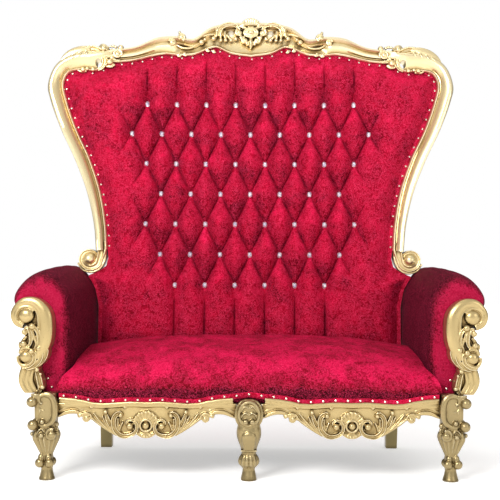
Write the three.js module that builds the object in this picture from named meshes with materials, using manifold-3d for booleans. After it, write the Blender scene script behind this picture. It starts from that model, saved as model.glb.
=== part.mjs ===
// A two-seat high-back throne: a carved and gilded wooden frame with a buttoned back,
// a crowned seat and rolled arms. Millimetres, +Z up, the front faces -Y, the floor is z = 0.
// Every carving is drawn on a panel: u to the right, v up, d out of the face.
import * as THREE from "three";
import { mergeVertices } from "three/addons/utils/BufferGeometryUtils.js";
import Module from "manifold-3d";

const wasm = await Module();
wasm.setup();

// ---- Driving sizes -------------------------------------------------------------------
const SEAT_HALF = 640; // centre to the inner face of an arm
const RAIL_TOP = 272; // top of the seat rails, which the upholstery stands on
const LEG_X = 712; // centre of a corner leg
const LEG_TOP = 306; // top of a front leg's knee block
const RAIL_DEPTH = 35; // thickness of a front rail
const RAIL_CENTRE = 362; // middle of a front rail, under its shell
const RAIL_ENDS = [57, 685]; // where a front rail meets the middle and corner legs
const BACK_LEG = { x: 602, top: 636, foot: 662, size: 52, footSize: 46 };
const ARM_FRONT = 30; // front end of the upholstered arms, which the facings cover
const ARM_REAR = 696; // rear end of the arms
const SEAT_REAR = 575; // rear end of the seat upholstery
const BACK_Y = 660; // the back's plane at the middle, at seat height
const BACK_SEAT_Z = 450;
const BACK_LEAN = 0.1; // how far the back's plane goes back for each unit of height
const BACK_WRAP = 60; // how far its sides come forward at WING_X
const WING_X = 860; // half width over the shoulders
const PAD_FOOT = 430; // where the inside back goes down behind the seat
const PAD_BACK = -5; // where the inside back's pad ends and the outside back begins
const PANEL_BACK = -40; // rear face of the outside back
const FRAME_BACK = -35; // rear face of the back frame
const CARVING_BACK = -28; // how far back its carvings reach
const BUTTON_PITCH = 127; // between buttons of one row
const ROW_PITCH = 130; // between rows
const TOP_ROW_Z = 1466;
const ROW_COUNTS = [8, 9, 8, 7, 8, 7, 6]; // buttons in each row, from the top
const GAP = 0.4; // left between pieces that touch

// ---- Finishes --------------------------------------------------------------------------
const gilding = new THREE.MeshStandardMaterial({ color: 0xcfae68, roughness: 0.38, metalness: 0.85 });
const velvet = new THREE.MeshStandardMaterial({ color: 0xb00b2e, roughness: 0.75, metalness: 0 });
const dustCloth = new THREE.MeshStandardMaterial({ color: 0x161313, roughness: 0.95, metalness: 0 });

// ---- Solids ----------------------------------------------------------------------------
function solidOf(geometry) {
  const bare = new THREE.BufferGeometry();
  bare.setAttribute("position", geometry.getAttribute("position"));
  if (geometry.index) bare.setIndex(geometry.index);
  const merged = mergeVertices(bare, 1e-3);
  const vertProperties = new Float32Array(merged.attributes.position.array);
  const triVerts = new Uint32Array(merged.index.array);
  return new wasm.Manifold(new wasm.Mesh({ numProp: 3, vertProperties, triVerts }));
}

function geometryOf(solid) {
  const { numProp, vertProperties, triVerts, numVert } = solid.getMesh();
  const position = new Float32Array(numVert * 3);
  for (let i = 0; i < numVert; i++) {
    position.set(vertProperties.subarray(i * numProp, i * numProp + 3), i * 3);
  }
  const geometry = new THREE.BufferGeometry();
  geometry.setAttribute("position", new THREE.BufferAttribute(position, 3));
  geometry.setIndex(new THREE.BufferAttribute(new Uint32Array(triVerts), 1));
  return geometry;
}

const joined = (geometries) => geometries.map(solidOf).reduce((whole, solid) => whole.add(solid));

function named(name, solid, material) {
  const geometry = geometryOf(solid).toNonIndexed();
  geometry.computeVertexNormals();
  const mesh = new THREE.Mesh(geometry, material);
  mesh.name = name;
  return mesh;
}

// Moves each vertex by a function of its place.
function mapped(geometry, place) {
  const position = geometry.getAttribute("position");
  const point = new THREE.Vector3();
  for (let i = 0; i < position.count; i++) {
    place(point.fromBufferAttribute(position, i));
    position.setXYZ(i, point.x, point.y, point.z);
  }
  return geometry;
}

// A mirror image in x, with its faces turned to point out again.
function mirrored(geometry) {
  const copy = geometry.index ? geometry.toNonIndexed() : geometry.clone();
  mapped(copy, (p) => p.setX(-p.x));
  const position = copy.getAttribute("position");
  for (let i = 0; i < position.count; i += 3) {
    const b = new THREE.Vector3().fromBufferAttribute(position, i + 1);
    const c = new THREE.Vector3().fromBufferAttribute(position, i + 2);
    position.setXYZ(i + 1, c.x, c.y, c.z);
    position.setXYZ(i + 2, b.x, b.y, b.z);
  }
  return copy;
}

const bothSides = (geometries) => [...geometries, ...geometries.map(mirrored)];

// A closed skin over rings of points, each end closed by a fan.
function loft(rings) {
  const sides = rings[0].length;
  const points = rings.flat();
  const index = [];
  for (let r = 0; r < rings.length - 1; r++) {
    for (let s = 0; s < sides; s++) {
      const a = r * sides + s;
      const b = r * sides + ((s + 1) % sides);
      index.push(a, b, b + sides, a, b + sides, a + sides);
    }
  }
  const middle = (ring) => ring.reduce((sum, p) => sum.add(p), new THREE.Vector3()).divideScalar(sides);
  const last = (rings.length - 1) * sides;
  const startCentre = points.push(middle(rings[0])) - 1;
  const endCentre = points.push(middle(rings[rings.length - 1])) - 1;
  for (let s = 0; s < sides; s++) {
    const next = (s + 1) % sides;
    index.push(startCentre, next, s, endCentre, last + s, last + next);
  }
  return new THREE.BufferGeometry().setFromPoints(points).setIndex(index);
}

// ---- Carving ---------------------------------------------------------------------------
// A smooth run through [u, v, halfWidth] points, sampled as { u, v, r, nu, nv } with its normal.
function run(points, steps) {
  const knots = points.map(([u, v, r]) => new THREE.Vector3(u, v, r));
  const path = new THREE.CatmullRomCurve3(knots, false, "centripetal");
  return Array.from({ length: steps + 1 }, (_, i) => {
    const at = path.getPoint(i / steps);
    const tangent = path.getTangent(i / steps);
    const length = Math.hypot(tangent.x, tangent.y) || 1;
    return { u: at.x, v: at.y, r: at.z, nu: -tangent.y / length, nv: tangent.x / length };
  });
}

// A carved strand with a round crown, or a ridged one of a single edge, and a flat back: floor and
// back are depths, rise is the height of the crown for each unit of half width.
function strand(points, { steps = 5, floor = 0, back = -10, rise = 0.8, ridged = false } = {}) {
  const angles = ridged ? [Math.PI / 2] : [0, Math.PI / 2, Math.PI];
  const rings = run(points, steps).map(({ u, v, r, nu, nv }) => {
    const at = (across, depth) => new THREE.Vector3(u + nu * across, -depth, v + nv * across);
    const crown = angles.map((angle) => at(Math.cos(angle) * r, floor + Math.sin(angle) * r * rise));
    return [at(r, back), ...crown, at(-r, back)];
  });
  return loft(rings);
}

// The centre line of a scroll, which goes round by turns of a circle and closes from outer to inner.
function spiral({ u, v, outer, inner, start, turns, from, to, count = 9 }) {
  return Array.from({ length: count }, (_, i) => {
    const t = i / (count - 1);
    const angle = start + t * turns * 2 * Math.PI;
    const radius = outer + (inner - outer) * t;
    return [u + Math.cos(angle) * radius, v + Math.sin(angle) * radius, from + (to - from) * t];
  });
}

// The domed eye of a volute, from depth back to depth front.
function eye(u, v, r, back, front) {
  const dome = new THREE.SphereGeometry(r, 8, 4).rotateX(Math.PI / 2).scale(1, (front - back) / 2 / r, 1);
  return dome.translate(u, -(front + back) / 2, v);
}

// A small carved bead whose middle stands depth out of the panel.
const bead = (u, v, r, depth) => new THREE.IcosahedronGeometry(r * 1.08, 0).translate(u, -depth, v);

// A disc lying in the panel, from depth back to depth front.
function disc(u, v, r, back, front, sides = 8) {
  const plate = new THREE.CylinderGeometry(r, r, front - back, sides);
  return plate.translate(u, -(front + back) / 2, v);
}

// A fan of ribs around a centre, such as a scallop shell: angles are from +u.
function fan({ u, v, inner, outer, from, to, ribs, width, floor, back, rise = 0.8 }) {
  return Array.from({ length: ribs }, (_, i) => {
    const angle = from + ((to - from) * i) / (ribs - 1);
    const at = (radius, half) => [u + Math.cos(angle) * radius, v + Math.sin(angle) * radius, half];
    const ends = [at(inner, width * 0.5), at(outer, width)];
    return strand(ends, { steps: 1, floor, back, rise, ridged: true });
  });
}

// ---- The back's plane -------------------------------------------------------------------
const backY = (x, z) => BACK_Y + BACK_LEAN * (z - BACK_SEAT_Z) - BACK_WRAP * (x / WING_X) ** 2;
const onBack = (geometry) => mapped(geometry, (p) => p.setY(p.y + backY(p.x, p.z)));

// Edges of the right half of the back frame, [x, z], from the stile's foot to the crest's middle.
const INNER_EDGE = [
  [602, 836], [609, 940], [634, 1082], [682, 1225], [738, 1345], [782, 1470], [797, 1541], [778, 1592],
  [728, 1606], [660, 1606], [603, 1638], [500, 1654], [380, 1684], [306, 1680], [240, 1686], [156, 1718],
  [90, 1692], [0, 1678],
];
const OUTER_EDGE = [
  [650, 830], [661, 940], [694, 1082], [749, 1225], [808, 1350], [854, 1475], [866, 1542], [836, 1626],
  [766, 1682], [684, 1698], [624, 1700], [500, 1718], [404, 1762], [325, 1770], [252, 1760], [176, 1811],
  [92, 1831], [0, 1834],
];
// Across the frame from its inner lip to its outer edge: [share of the width, depth].
const FRAME_PROFILE = [[0, 20], [0.1, 36], [0.2, 29], [0.5, 49], [1, 18]];

function frameMoulding() {
  const count = INNER_EDGE.length;
  const rings = Array.from({ length: 2 * count - 1 }, (_, i) => {
    const k = Math.min(i, 2 * count - 2 - i);
    const side = i < count ? 1 : -1;
    const at = (share, depth) => {
      const [x, z] = INNER_EDGE[k].map((inner, axis) => inner + (OUTER_EDGE[k][axis] - inner) * share);
      return new THREE.Vector3(x * side, -depth, z);
    };
    return [at(0, FRAME_BACK), ...FRAME_PROFILE.map(([share, depth]) => at(share, depth)), at(1, FRAME_BACK)];
  });
  return loft(rings);
}

// The scroll that ends each stile, turning outwards over the arm.
function stileScroll() {
  const [u, v] = [674, 796];
  const closing = { outer: 44, inner: 33, start: Math.PI * 0.95, turns: 0.78, from: 25, to: 9, count: 7 };
  const curl = spiral({ u, v, ...closing });
  return [
    strand([[626, 850, 24], ...curl], { steps: 7, floor: 18, back: CARVING_BACK, rise: 0.9 }),
    eye(u, v, 36, CARVING_BACK + 4, 46),
  ];
}

// The shoulder: leaves over the corner, a pierced hook that turns down, and beads under it.
function shoulder() {
  const hook = [[748, 1690, 20], [690, 1698, 17], [646, 1684, 14], [620, 1656, 12], [625, 1640, 9]];
  const leaves = [0, 1, 2].map((i) => {
    const [u, v] = [828 - i * 44, 1628 + i * 29 - i * i * 4];
    const leaf = [[u, v, 7], [u - 26, v + 20, 13], [u - 62, v + 22, 6]];
    return strand(leaf, { floor: 34, back: 0, steps: 2, ridged: true });
  });
  const beads = [[706, 1620, 12], [573, 1688, 15], [632, 1702, 17]];
  return [
    strand(hook, { floor: 20, back: CARVING_BACK, rise: 1.1 }),
    ...leaves,
    ...beads.map(([u, v, r]) => bead(u, v, r, 30)),
  ];
}

// Beads and small scrolls along the top rail, between the shoulder and the crest.
function railCarving() {
  const ridge = [[304, 1772, 9], [252, 1766, 10], [205, 1788, 11], [150, 1816, 12]];
  const beads = [[343, 1748, 15], [302, 1744, 12], [198, 1748, 12]];
  return [
    strand(ridge, { steps: 3, floor: 30, back: CARVING_BACK }),
    ...beads.map(([u, v, r]) => bead(u, v, r, 36)),
  ];
}

// One side of the crest: an open scroll with leaves beside it, and volutes by the boss.
function crestSide() {
  const arch = [[128, 1752, 10], [126, 1792, 12], [100, 1823, 12], [66, 1826, 9], [44, 1802, 7]];
  const leaf = [[154, 1796, 11], [148, 1770, 12], [156, 1742, 7]];
  const beads = [[62, 1784, 17], [94, 1746, 12], [38, 1752, 17], [31, 1818, 13]];
  return [
    strand(arch, { floor: 38, back: CARVING_BACK, rise: 1 }),
    strand(leaf, { steps: 2, floor: 44, back: 0, ridged: true }),
    ...beads.map(([u, v, r]) => bead(u, v, r, 44)),
  ];
}

// The middle of the crest: an oval boss in a ring, a shell over it and a leaf under it.
function crestBoss() {
  const centre = 1784;
  const shell = { u: 0, v: 1792, inner: 16, outer: 60, from: Math.PI * 0.22, to: Math.PI * 0.78, ribs: 5 };
  return [
    disc(0, centre, 30, 0, 56, 10),
    eye(0, centre, 20, 34, 74),
    ...fan({ ...shell, width: 8, floor: 40, back: -20, rise: 1 }),
    strand([[0, 1762, 10], [0, 1740, 11], [0, 1716, 2]], { steps: 2, floor: 50, back: 10, ridged: true }),
  ];
}

function backFrame() {
  const sides = bothSides([...stileScroll(), ...shoulder(), ...railCarving(), ...crestSide()]);
  const holes = bothSides([disc(657, 1637, 15, -80, 120), disc(84, 1796, 12, -80, 120)]);
  const wood = joined([frameMoulding(), ...sides, ...crestBoss()].map(onBack));
  return wood.subtract(joined(holes.map(onBack)));
}

// ---- Upholstery of the back --------------------------------------------------------------
// Outline inside the frame and between the arms, set in by margin.
function backOutline(margin, foot) {
  const inner = INNER_EDGE.map(([x, z], i) => {
    const before = INNER_EDGE[Math.max(0, i - 1)];
    const after = INNER_EDGE[Math.min(INNER_EDGE.length - 1, i + 1)];
    const [du, dv] = [after[0] - before[0], after[1] - before[1]];
    const length = Math.hypot(du, dv);
    return x === 0 ? [0, z - margin] : [x - (dv / length) * margin, z + (du / length) * margin];
  });
  const underScroll = [
    [SEAT_HALF - 6, foot], [SEAT_HALF - 6, 600], [648, 668], [667, 706], [659, 729], [630, 747], [606, 767],
    [598, 800], [598, 826],
  ];
  const right = [...underScroll, ...inner];
  const left = right.slice(0, -1).reverse().map(([x, z]) => [-x, z]);
  return new THREE.Shape([...right, ...left].map(([x, z]) => new THREE.Vector2(x, z)));
}

function outlinePrism(margin, foot) {
  const depth = 600;
  const prism = new THREE.ExtrudeGeometry(backOutline(margin, foot), { depth, bevelEnabled: false });
  return solidOf(prism.rotateX(Math.PI / 2).translate(0, BACK_Y + depth / 2 + 40, 0));
}

// A solid whose front is a grid over the back's plane, at a depth given by a function of (x, z).
// It runs back to a point far behind; its valleys fold along the lower diagonal of each cell.
function overBack(xs, zs, depthAt) {
  const columns = xs.length;
  const nodes = zs.flatMap((z) => xs.map((x) => [x, z]));
  const depths = nodes.map(([x, z]) => depthAt(x, z));
  const points = nodes.map(([x, z], n) => new THREE.Vector3(x, backY(x, z) - depths[n], z));
  const apex = points.push(new THREE.Vector3(0, BACK_Y + 2000, 1100)) - 1;
  const index = [];
  for (let j = 0; j < zs.length - 1; j++) {
    for (let i = 0; i < columns - 1; i++) {
      const a = j * columns + i;
      const [b, c, d] = [a + 1, a + columns + 1, a + columns];
      if (depths[a] + depths[c] < depths[b] + depths[d]) index.push(a, b, c, a, c, d);
      else index.push(b, c, d, b, d, a);
    }
  }
  const bottom = xs.map((_, i) => i);
  const right = zs.map((_, j) => j * columns + columns - 1);
  const top = xs.map((_, i) => zs.length * columns - 1 - i);
  const left = zs.map((_, j) => (zs.length - 1 - j) * columns);
  for (const edge of [bottom, right, top, left]) {
    for (let k = 0; k < edge.length - 1; k++) index.push(edge[k + 1], edge[k], apex);
  }
  return new THREE.BufferGeometry().setFromPoints(points).setIndex(index);
}

// How far the buttoned part reaches sideways at a height.
function tuftedHalf(z) {
  const row = THREE.MathUtils.clamp((TOP_ROW_Z - z) / ROW_PITCH, 0, ROW_COUNTS.length - 1);
  const [above, below] = [Math.floor(row), Math.ceil(row)];
  const width = (k) => ((ROW_COUNTS[k] - 1) / 2) * BUTTON_PITCH;
  return THREE.MathUtils.lerp(width(above), width(below), row - above);
}

// Depth of the inside back: diamonds between the buttons, upright pleats above and below them.
function padDepth(x, z) {
  const [edge, crown, sink] = [24, 74, 34];
  const row = THREE.MathUtils.clamp((TOP_ROW_Z - z) / ROW_PITCH, 0, ROW_COUNTS.length - 1);
  const column = x / BUTTON_PITCH + 0.5;
  const [left, right] = [column + row / 2, column - row / 2].map((t) => Math.abs(Math.sin(Math.PI * t)));
  const pillow = Math.sqrt(left * right);
  const outside = Math.max(0, Math.abs(x) - tuftedHalf(z)) / 110;
  const tuft = sink * (1 - pillow) * Math.max(0, 1 - outside);
  const side = z > 790 ? innerHalf(z) : SEAT_HALF;
  const reach = [(side - Math.abs(x)) / 90, (1700 - z) / 70, 0.3 + (z - PAD_FOOT) / 100];
  const margin = THREE.MathUtils.clamp(Math.min(...reach), 0, 1);
  return edge + (crown - edge) * Math.sin((margin * Math.PI) / 2) - tuft * margin;
}

// Half width inside the frame at a height, up to the shoulder.
function innerHalf(z) {
  const stile = INNER_EDGE.slice(0, 7);
  const above = stile.findIndex(([, height]) => height > z);
  if (above < 1) return above ? 797 : 602;
  const [[x0, z0], [x1, z1]] = [stile[above - 1], stile[above]];
  return x0 + ((x1 - x0) * (z - z0)) / (z1 - z0);
}

const evenly = (from, to, count) =>
  Array.from({ length: count }, (_, i) => from + ((to - from) * i) / (count - 1));

// Everything in front of (or, with a negative depth, behind) a depth of the back's plane.
const backSlab = (depth) => solidOf(overBack(evenly(-1000, 1000, 11), [100, 1900], () => depth));

function insideBack() {
  const reach = 4.5 * BUTTON_PITCH;
  const sides = [680, 900];
  const xs = [...sides.map((x) => -x).reverse(), ...evenly(-reach, reach, 19), ...sides];
  const below = TOP_ROW_Z - (ROW_COUNTS.length - 1) * ROW_PITCH;
  const zs = [350, 560, ...evenly(below, TOP_ROW_Z, ROW_COUNTS.length), TOP_ROW_Z + 150, 1800];
  const pad = solidOf(overBack(xs, zs, padDepth)).intersect(outlinePrism(GAP + 0.6, PAD_FOOT));
  return pad.subtract(backSlab(PAD_BACK));
}

function outsideBack() {
  const foot = RAIL_TOP + GAP;
  const panel = backSlab(PAD_BACK - GAP).intersect(outlinePrism(GAP + 0.6, foot));
  return panel.subtract(backSlab(PANEL_BACK));
}

// ---- Seat --------------------------------------------------------------------------------
// The seat's section at its sides, [y, z, share of the crown], from the rear foot over the top to the nose.
const SEAT_SECTION = [
  [SEAT_REAR, RAIL_TOP + GAP, 0], [SEAT_REAR, 440, 0.8], [455, 446, 1], [304, 432, 1], [200, 418, 1],
  [120, 403, 0.9], [50, 382, 0.7], [6, 352, 0.45], [-14, 318, 0.2], [-12, 292, 0], [-2, RAIL_TOP + GAP, 0],
];
const SEAT_CROWN = 42;

function seat() {
  const stations = 8;
  const rings = Array.from({ length: stations + 1 }, (_, i) => {
    const x = Math.sin((i / stations - 0.5) * Math.PI) * (SEAT_HALF - 5);
    const crown = SEAT_CROWN * (1 - Math.abs(x / SEAT_HALF) ** 3);
    return SEAT_SECTION.map(([y, z, share]) => new THREE.Vector3(x, y, z + crown * share));
  });
  return solidOf(loft(rings));
}

// ---- Arms --------------------------------------------------------------------------------
// The arm's section, [x, z], from the inner foot over the roll to the outer foot.
const ARM_SECTION = [
  [648, RAIL_TOP + GAP], [643, 400], [640, 520], [643, 600], [655, 668], [682, 718], [714, 754], [748, 766],
  [788, 752], [822, 720], [844, 676], [844, 636], [820, 602], [782, 572], [772, 450], [764, 340],
  [758, RAIL_TOP + GAP],
];
const ARM_SPINE = 735;
// [y, how much the section closes in, how far the top is lowered]: the front end is rounded over.
const ARM_STATIONS = [[ARM_FRONT, 22, 70], [46, 8, 48], [76, 1, 28], [140, 0, 12], [ARM_REAR, 0, 0]];

function arm() {
  const rings = ARM_STATIONS.map(([y, inset, drop]) =>
    ARM_SECTION.map(([x, z]) => {
      const closed = x + Math.sign(ARM_SPINE - x) * Math.min(inset, Math.abs(ARM_SPINE - x));
      const share = THREE.MathUtils.clamp((z - 560) / 200, 0, 1);
      return new THREE.Vector3(closed, y, z - drop * share);
    }),
  );
  return loft(rings);
}

// ---- Arm facings ---------------------------------------------------------------------------
function armFacing() {
  const [rear, face] = [0.6 - ARM_FRONT, 26];
  const hook = [
    [748, 430, 20], [719, 486, 26], [708, 545, 27], [716, 596, 26], [744, 628, 22], [782, 632, 18],
    [807, 615, 15], [818, 583, 12], [807, 555, 10], [786, 545, 9],
  ];
  const stem = [[752, 290, 29], [780, 340, 28], [784, 404, 26]];
  const innerLeaf = [[734, 296, 11], [744, 388, 10]];
  const folds = [0, 1, 2].map((k) => {
    const closing = { outer: 38 + 23 * k, inner: 36 + 4 * k, start: Math.PI * 0.76, turns: 0.34 };
    return spiral({ u: 790, v: 430, ...closing, from: 8, to: 6, count: 5 });
  });
  const tongue = [[756, 440, 12], [762, 486, 12], [774, 520, 9]];
  const beads = [[764, 456, 11], [742, 470, 11], [719, 478, 12], [784, 514, 14]];
  return [
    strand(hook, { floor: face, back: rear, rise: 0.6, steps: 8 }),
    eye(786, 588, 40, rear + 2, face + 18),
    strand(stem, { floor: face, back: rear, rise: 0.45, steps: 2 }),
    strand(innerLeaf, { floor: 22, back: rear, steps: 1, ridged: true }),
    eye(792, 428, 31, rear + 2, face + 22),
    ...folds.map((points) => strand(points, { steps: 3, floor: face + 3, back: rear, ridged: true })),
    strand(tongue, { steps: 2, floor: 26, back: rear, ridged: true }),
    ...beads.map(([u, v, r]) => bead(u, v, r, face + 2)),
  ];
}

// ---- Legs ----------------------------------------------------------------------------------
// A front leg below its top, its knee towards -Y: [z, knee offset, half width, half depth].
const LEG_RINGS = [
  [0, 0, 28, 28], [36, 0, 20, 20], [64, 6, 27, 26], [97, 4, 24, 23],
  [126, 12, 33, 29], [160, 24, 43, 39], [188, 26, 38, 34], [216, 28, 43, 38], [262, 28, 45, 38],
];

function legBody(top) {
  const sides = 10;
  return loft([...LEG_RINGS, [top, 20, 38, 33]].map(([z, knee, width, depth]) => {
    const flute = z > 100 && z < 180 ? 0.92 : 1;
    return Array.from({ length: sides }, (_, s) => {
      const angle = ((s + 0.5) / sides) * 2 * Math.PI;
      const size = s % 2 ? flute : 1;
      return new THREE.Vector3(Math.cos(angle) * width * size, Math.sin(angle) * depth * size - knee, z);
    });
  }));
}

// The knee's carving: two facing scrolls with beads between them.
function kneeCartouche() {
  const face = 66;
  const scroll = [[10, 296, 7], [36, 290, 9], [46, 245, 9], [34, 196, 8], [10, 186, 6]];
  return bothSides([
    strand(scroll, { steps: 4, floor: face - 10, back: face - 38 }),
    bead(14, 210, 14, face - 7),
  ]);
}

// The four balls around the foot.
const toes = () => [[0, 1], [1, 0], [0, -1], [-1, 0]].map(([u, d]) => bead(u * 19, 62, 19, 6 + d * 19));

// The raised drop down the front of the calf.
const tongueDrop = () => bead(0, 0, 24, 0).scale(1, 0.5, 1.6).translate(0, -54, 142);

// The curl on the side of a corner leg's calf.
const sideCurl = () => bead(8, 178, 20, 42).rotateZ(Math.PI / 2).translate(0, -24, 0);

const middleLeg = () => joined([legBody(RAIL_TOP - GAP), ...kneeCartouche(), ...toes(), tongueDrop()]);
const cornerLeg = () =>
  joined([legBody(LEG_TOP), ...kneeCartouche(), ...toes(), tongueDrop(), ...bothSides([sideCurl()])]);

function backLeg() {
  const [top, foot] = [BACK_LEG.size / 2, BACK_LEG.footSize / 2];
  const corners = [[-1, -1], [1, -1], [1, 1], [-1, 1]];
  const square = (half, y, z) =>
    corners.map(([a, b]) => new THREE.Vector3(BACK_LEG.x + a * half, y + b * half, z));
  return loft([square(foot, BACK_LEG.foot, 0), square(top, BACK_LEG.top, RAIL_TOP)]);
}

// ---- Rails -----------------------------------------------------------------------------------
// Half of a front rail's lower edge, from the pendant under the shell towards the leg, whose end
// of the edge is at RAIL_FOOT: [u from its middle, v].
const RAIL_EDGE = [
  [0, 150], [42, 158], [74, 150], [118, 162], [166, 196], [196, 212], [226, 228], [272, 232],
];
const RAIL_FOOT = 210;

function railPlate() {
  const [left, right] = RAIL_ENDS.map((end) => Math.abs(end - RAIL_CENTRE));
  const half = (reach) => [...RAIL_EDGE, [reach, RAIL_FOOT], [reach, RAIL_TOP]];
  const other = half(left).slice(1).reverse().map(([u, v]) => [-u, v]);
  const shape = new THREE.Shape([...other, ...half(right)].map(([u, v]) => new THREE.Vector2(u, v)));
  const plate = new THREE.ExtrudeGeometry(shape, { depth: RAIL_DEPTH, bevelEnabled: false });
  return plate.rotateX(Math.PI / 2).translate(0, RAIL_DEPTH / 2, 0);
}

// Carving on the right half of a front rail: a volute that runs on into a plume, blades and a scroll.
function railHalf(face) {
  const relief = { floor: face + 1, back: face - 6 };
  const plume = [
    [72, 198, 5], [54, 211, 7], [36, 192, 8], [46, 166, 9], [76, 158, 10], [100, 174, 10], [112, 202, 9],
    [98, 228, 6],
  ];
  const blades = [
    [[110, 168, 6], [134, 192, 9], [146, 236, 4]],
    [[140, 176, 5], [176, 206, 8], [206, 222, 3]],
  ];
  const arch = [[200, 212, 10], [240, 240, 8], [274, 240, 7], [296, 222, 6]];
  return [
    strand(plume, { ...relief, steps: 7 }),
    ...blades.map((points) => strand(points, { ...relief, steps: 2, ridged: true })),
    strand(arch, { ...relief, steps: 3 }),
    bead(58, 188, 15, face + 2),
    bead(200, 212, 14, face + 2),
  ];
}

function frontRail() {
  const face = RAIL_DEPTH / 2;
  const relief = { floor: face + 1, back: face - 6 };
  const shell = { u: 0, v: 196, inner: 15, outer: 48, from: 0.3, to: Math.PI - 0.3, ribs: 5, width: 10 };
  const carving = [
    railPlate(),
    ...fan({ ...shell, ...relief }),
    strand([[0, 178, 12], [0, 153, 5]], { ...relief, steps: 1, ridged: true }),
    disc(0, 192, 22, face - 6, face + 6, 10),
    bead(0, 192, 14, face + 6),
    ...bothSides(railHalf(face)),
  ];
  return joined(carving.map((geometry) => geometry.translate(RAIL_CENTRE, 0, 0)));
}

function sideRail() {
  const section = new THREE.Shape([
    [706, 226], [752, 226], [757, 234], [753, 244], [757, 254], [757, RAIL_TOP], [706, RAIL_TOP],
  ].map(([x, z]) => new THREE.Vector2(x, z)));
  const length = 560;
  const rail = new THREE.ExtrudeGeometry(section, { depth: length, bevelEnabled: false });
  return rail.rotateX(Math.PI / 2).translate(0, 66 + length, 0);
}

// The rear rail follows the curve of the back in plan.
function rearRail() {
  const reach = BACK_LEG.x - BACK_LEG.size / 2 - 1;
  const xs = evenly(-reach, reach, 9);
  const line = (depth) => xs.map((x) => new THREE.Vector2(x, backY(x, RAIL_TOP) - depth));
  const plan = new THREE.Shape([...line(6), ...line(PANEL_BACK).reverse()]);
  return new THREE.ExtrudeGeometry(plan, { depth: 46, bevelEnabled: false }).translate(0, 0, RAIL_TOP - 46);
}

function seatDeck() {
  return new THREE.BoxGeometry(1400, 520, 16).translate(0, 328, RAIL_TOP - GAP - 8);
}

// ---- Assembly ----------------------------------------------------------------------------------
const corner = cornerLeg();
const outward = (solid, side) => solid.rotate([0, 0, side * 45]).translate([side * LEG_X, 0, 0]);
const rightLeg = outward(corner, 1);
const leftLeg = outward(corner, -1);
const centreLeg = middleLeg();
const rightRail = frontRail();
const leftRail = rightRail.mirror([1, 0, 0]);
const belowLegTop = solidOf(new THREE.BoxGeometry(200, 200, 100).translate(LEG_X, 0, LEG_TOP + GAP - 50));
const facing = joined(armFacing()).subtract(belowLegTop);
const pieces = [
  named("back_frame", backFrame(), gilding),
  named("inside_back", insideBack(), velvet),
  named("outside_back", outsideBack(), velvet),
  named("seat", seat(), velvet),
  named("arm_right", solidOf(arm()), velvet),
  named("arm_left", solidOf(arm()).mirror([1, 0, 0]), velvet),
  named("arm_facing_right", facing, gilding),
  named("arm_facing_left", facing.mirror([1, 0, 0]), gilding),
  named("front_leg_right", rightLeg, gilding),
  named("front_leg_middle", centreLeg, gilding),
  named("front_leg_left", leftLeg, gilding),
  named("back_leg_right", solidOf(backLeg()), gilding),
  named("back_leg_left", solidOf(backLeg()).mirror([1, 0, 0]), gilding),
  named("front_rail_right", rightRail, gilding),
  named("front_rail_left", leftRail, gilding),
  named("side_rail_right", solidOf(sideRail()), gilding),
  named("side_rail_left", solidOf(sideRail()).mirror([1, 0, 0]), gilding),
  named("rear_rail", solidOf(rearRail()), gilding),
  named("seat_deck", solidOf(seatDeck()), dustCloth),
];

const throne = new THREE.Group();
throne.add(...pieces);
const footprint = new THREE.Box3().setFromObject(throne).getCenter(new THREE.Vector3());
throne.position.y = -footprint.y;

export default throne;
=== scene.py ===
"""Dresses a two-seat high-back throne: gilded carved wood, buttoned crushed velvet and crystal studs.

Shapes are given in millimetres with y = 0 through the middle of the front legs, z = 0 on the floor
and the front facing -Y. Carvings are drawn on a panel: u to the right, v up, d out of its face.
"""
import logging
import math
from collections.abc import Callable, Iterable, Sequence
from dataclasses import dataclass, field
from enum import Enum

import bmesh
import bpy
import numpy as np
from mathutils import Matrix, Vector


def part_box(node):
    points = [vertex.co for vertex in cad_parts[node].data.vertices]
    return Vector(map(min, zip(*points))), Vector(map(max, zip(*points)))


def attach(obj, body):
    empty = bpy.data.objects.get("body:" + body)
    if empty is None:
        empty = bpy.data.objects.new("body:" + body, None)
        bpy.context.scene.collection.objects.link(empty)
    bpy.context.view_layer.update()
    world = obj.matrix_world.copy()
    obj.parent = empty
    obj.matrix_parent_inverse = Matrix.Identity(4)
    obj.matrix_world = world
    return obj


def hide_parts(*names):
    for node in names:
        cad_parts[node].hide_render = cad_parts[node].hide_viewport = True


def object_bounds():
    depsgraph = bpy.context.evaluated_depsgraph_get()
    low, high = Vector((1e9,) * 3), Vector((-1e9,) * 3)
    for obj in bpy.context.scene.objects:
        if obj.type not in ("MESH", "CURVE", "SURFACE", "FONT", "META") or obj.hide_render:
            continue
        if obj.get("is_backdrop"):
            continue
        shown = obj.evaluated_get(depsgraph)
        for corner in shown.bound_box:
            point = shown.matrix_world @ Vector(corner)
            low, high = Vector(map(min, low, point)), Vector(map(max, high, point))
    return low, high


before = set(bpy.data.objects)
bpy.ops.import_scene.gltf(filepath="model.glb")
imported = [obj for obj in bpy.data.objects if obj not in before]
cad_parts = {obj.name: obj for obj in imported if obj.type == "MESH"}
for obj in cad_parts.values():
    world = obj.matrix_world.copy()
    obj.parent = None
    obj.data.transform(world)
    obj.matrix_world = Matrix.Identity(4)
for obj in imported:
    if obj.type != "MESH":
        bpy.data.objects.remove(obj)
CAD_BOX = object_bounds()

LOG = logging.getLogger("throne")
MM = 0.001
DECK_CENTRE = 328.0  # from the front legs' centres back to the middle of the seat deck
Point = tuple[float, float, float]
Placing = Callable[[float, float, float], Point]
Piece = bpy.types.Object
Socket = bpy.types.NodeSocket
Node = bpy.types.Node
Tree = bpy.types.NodeTree
Material = bpy.types.Material


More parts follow.
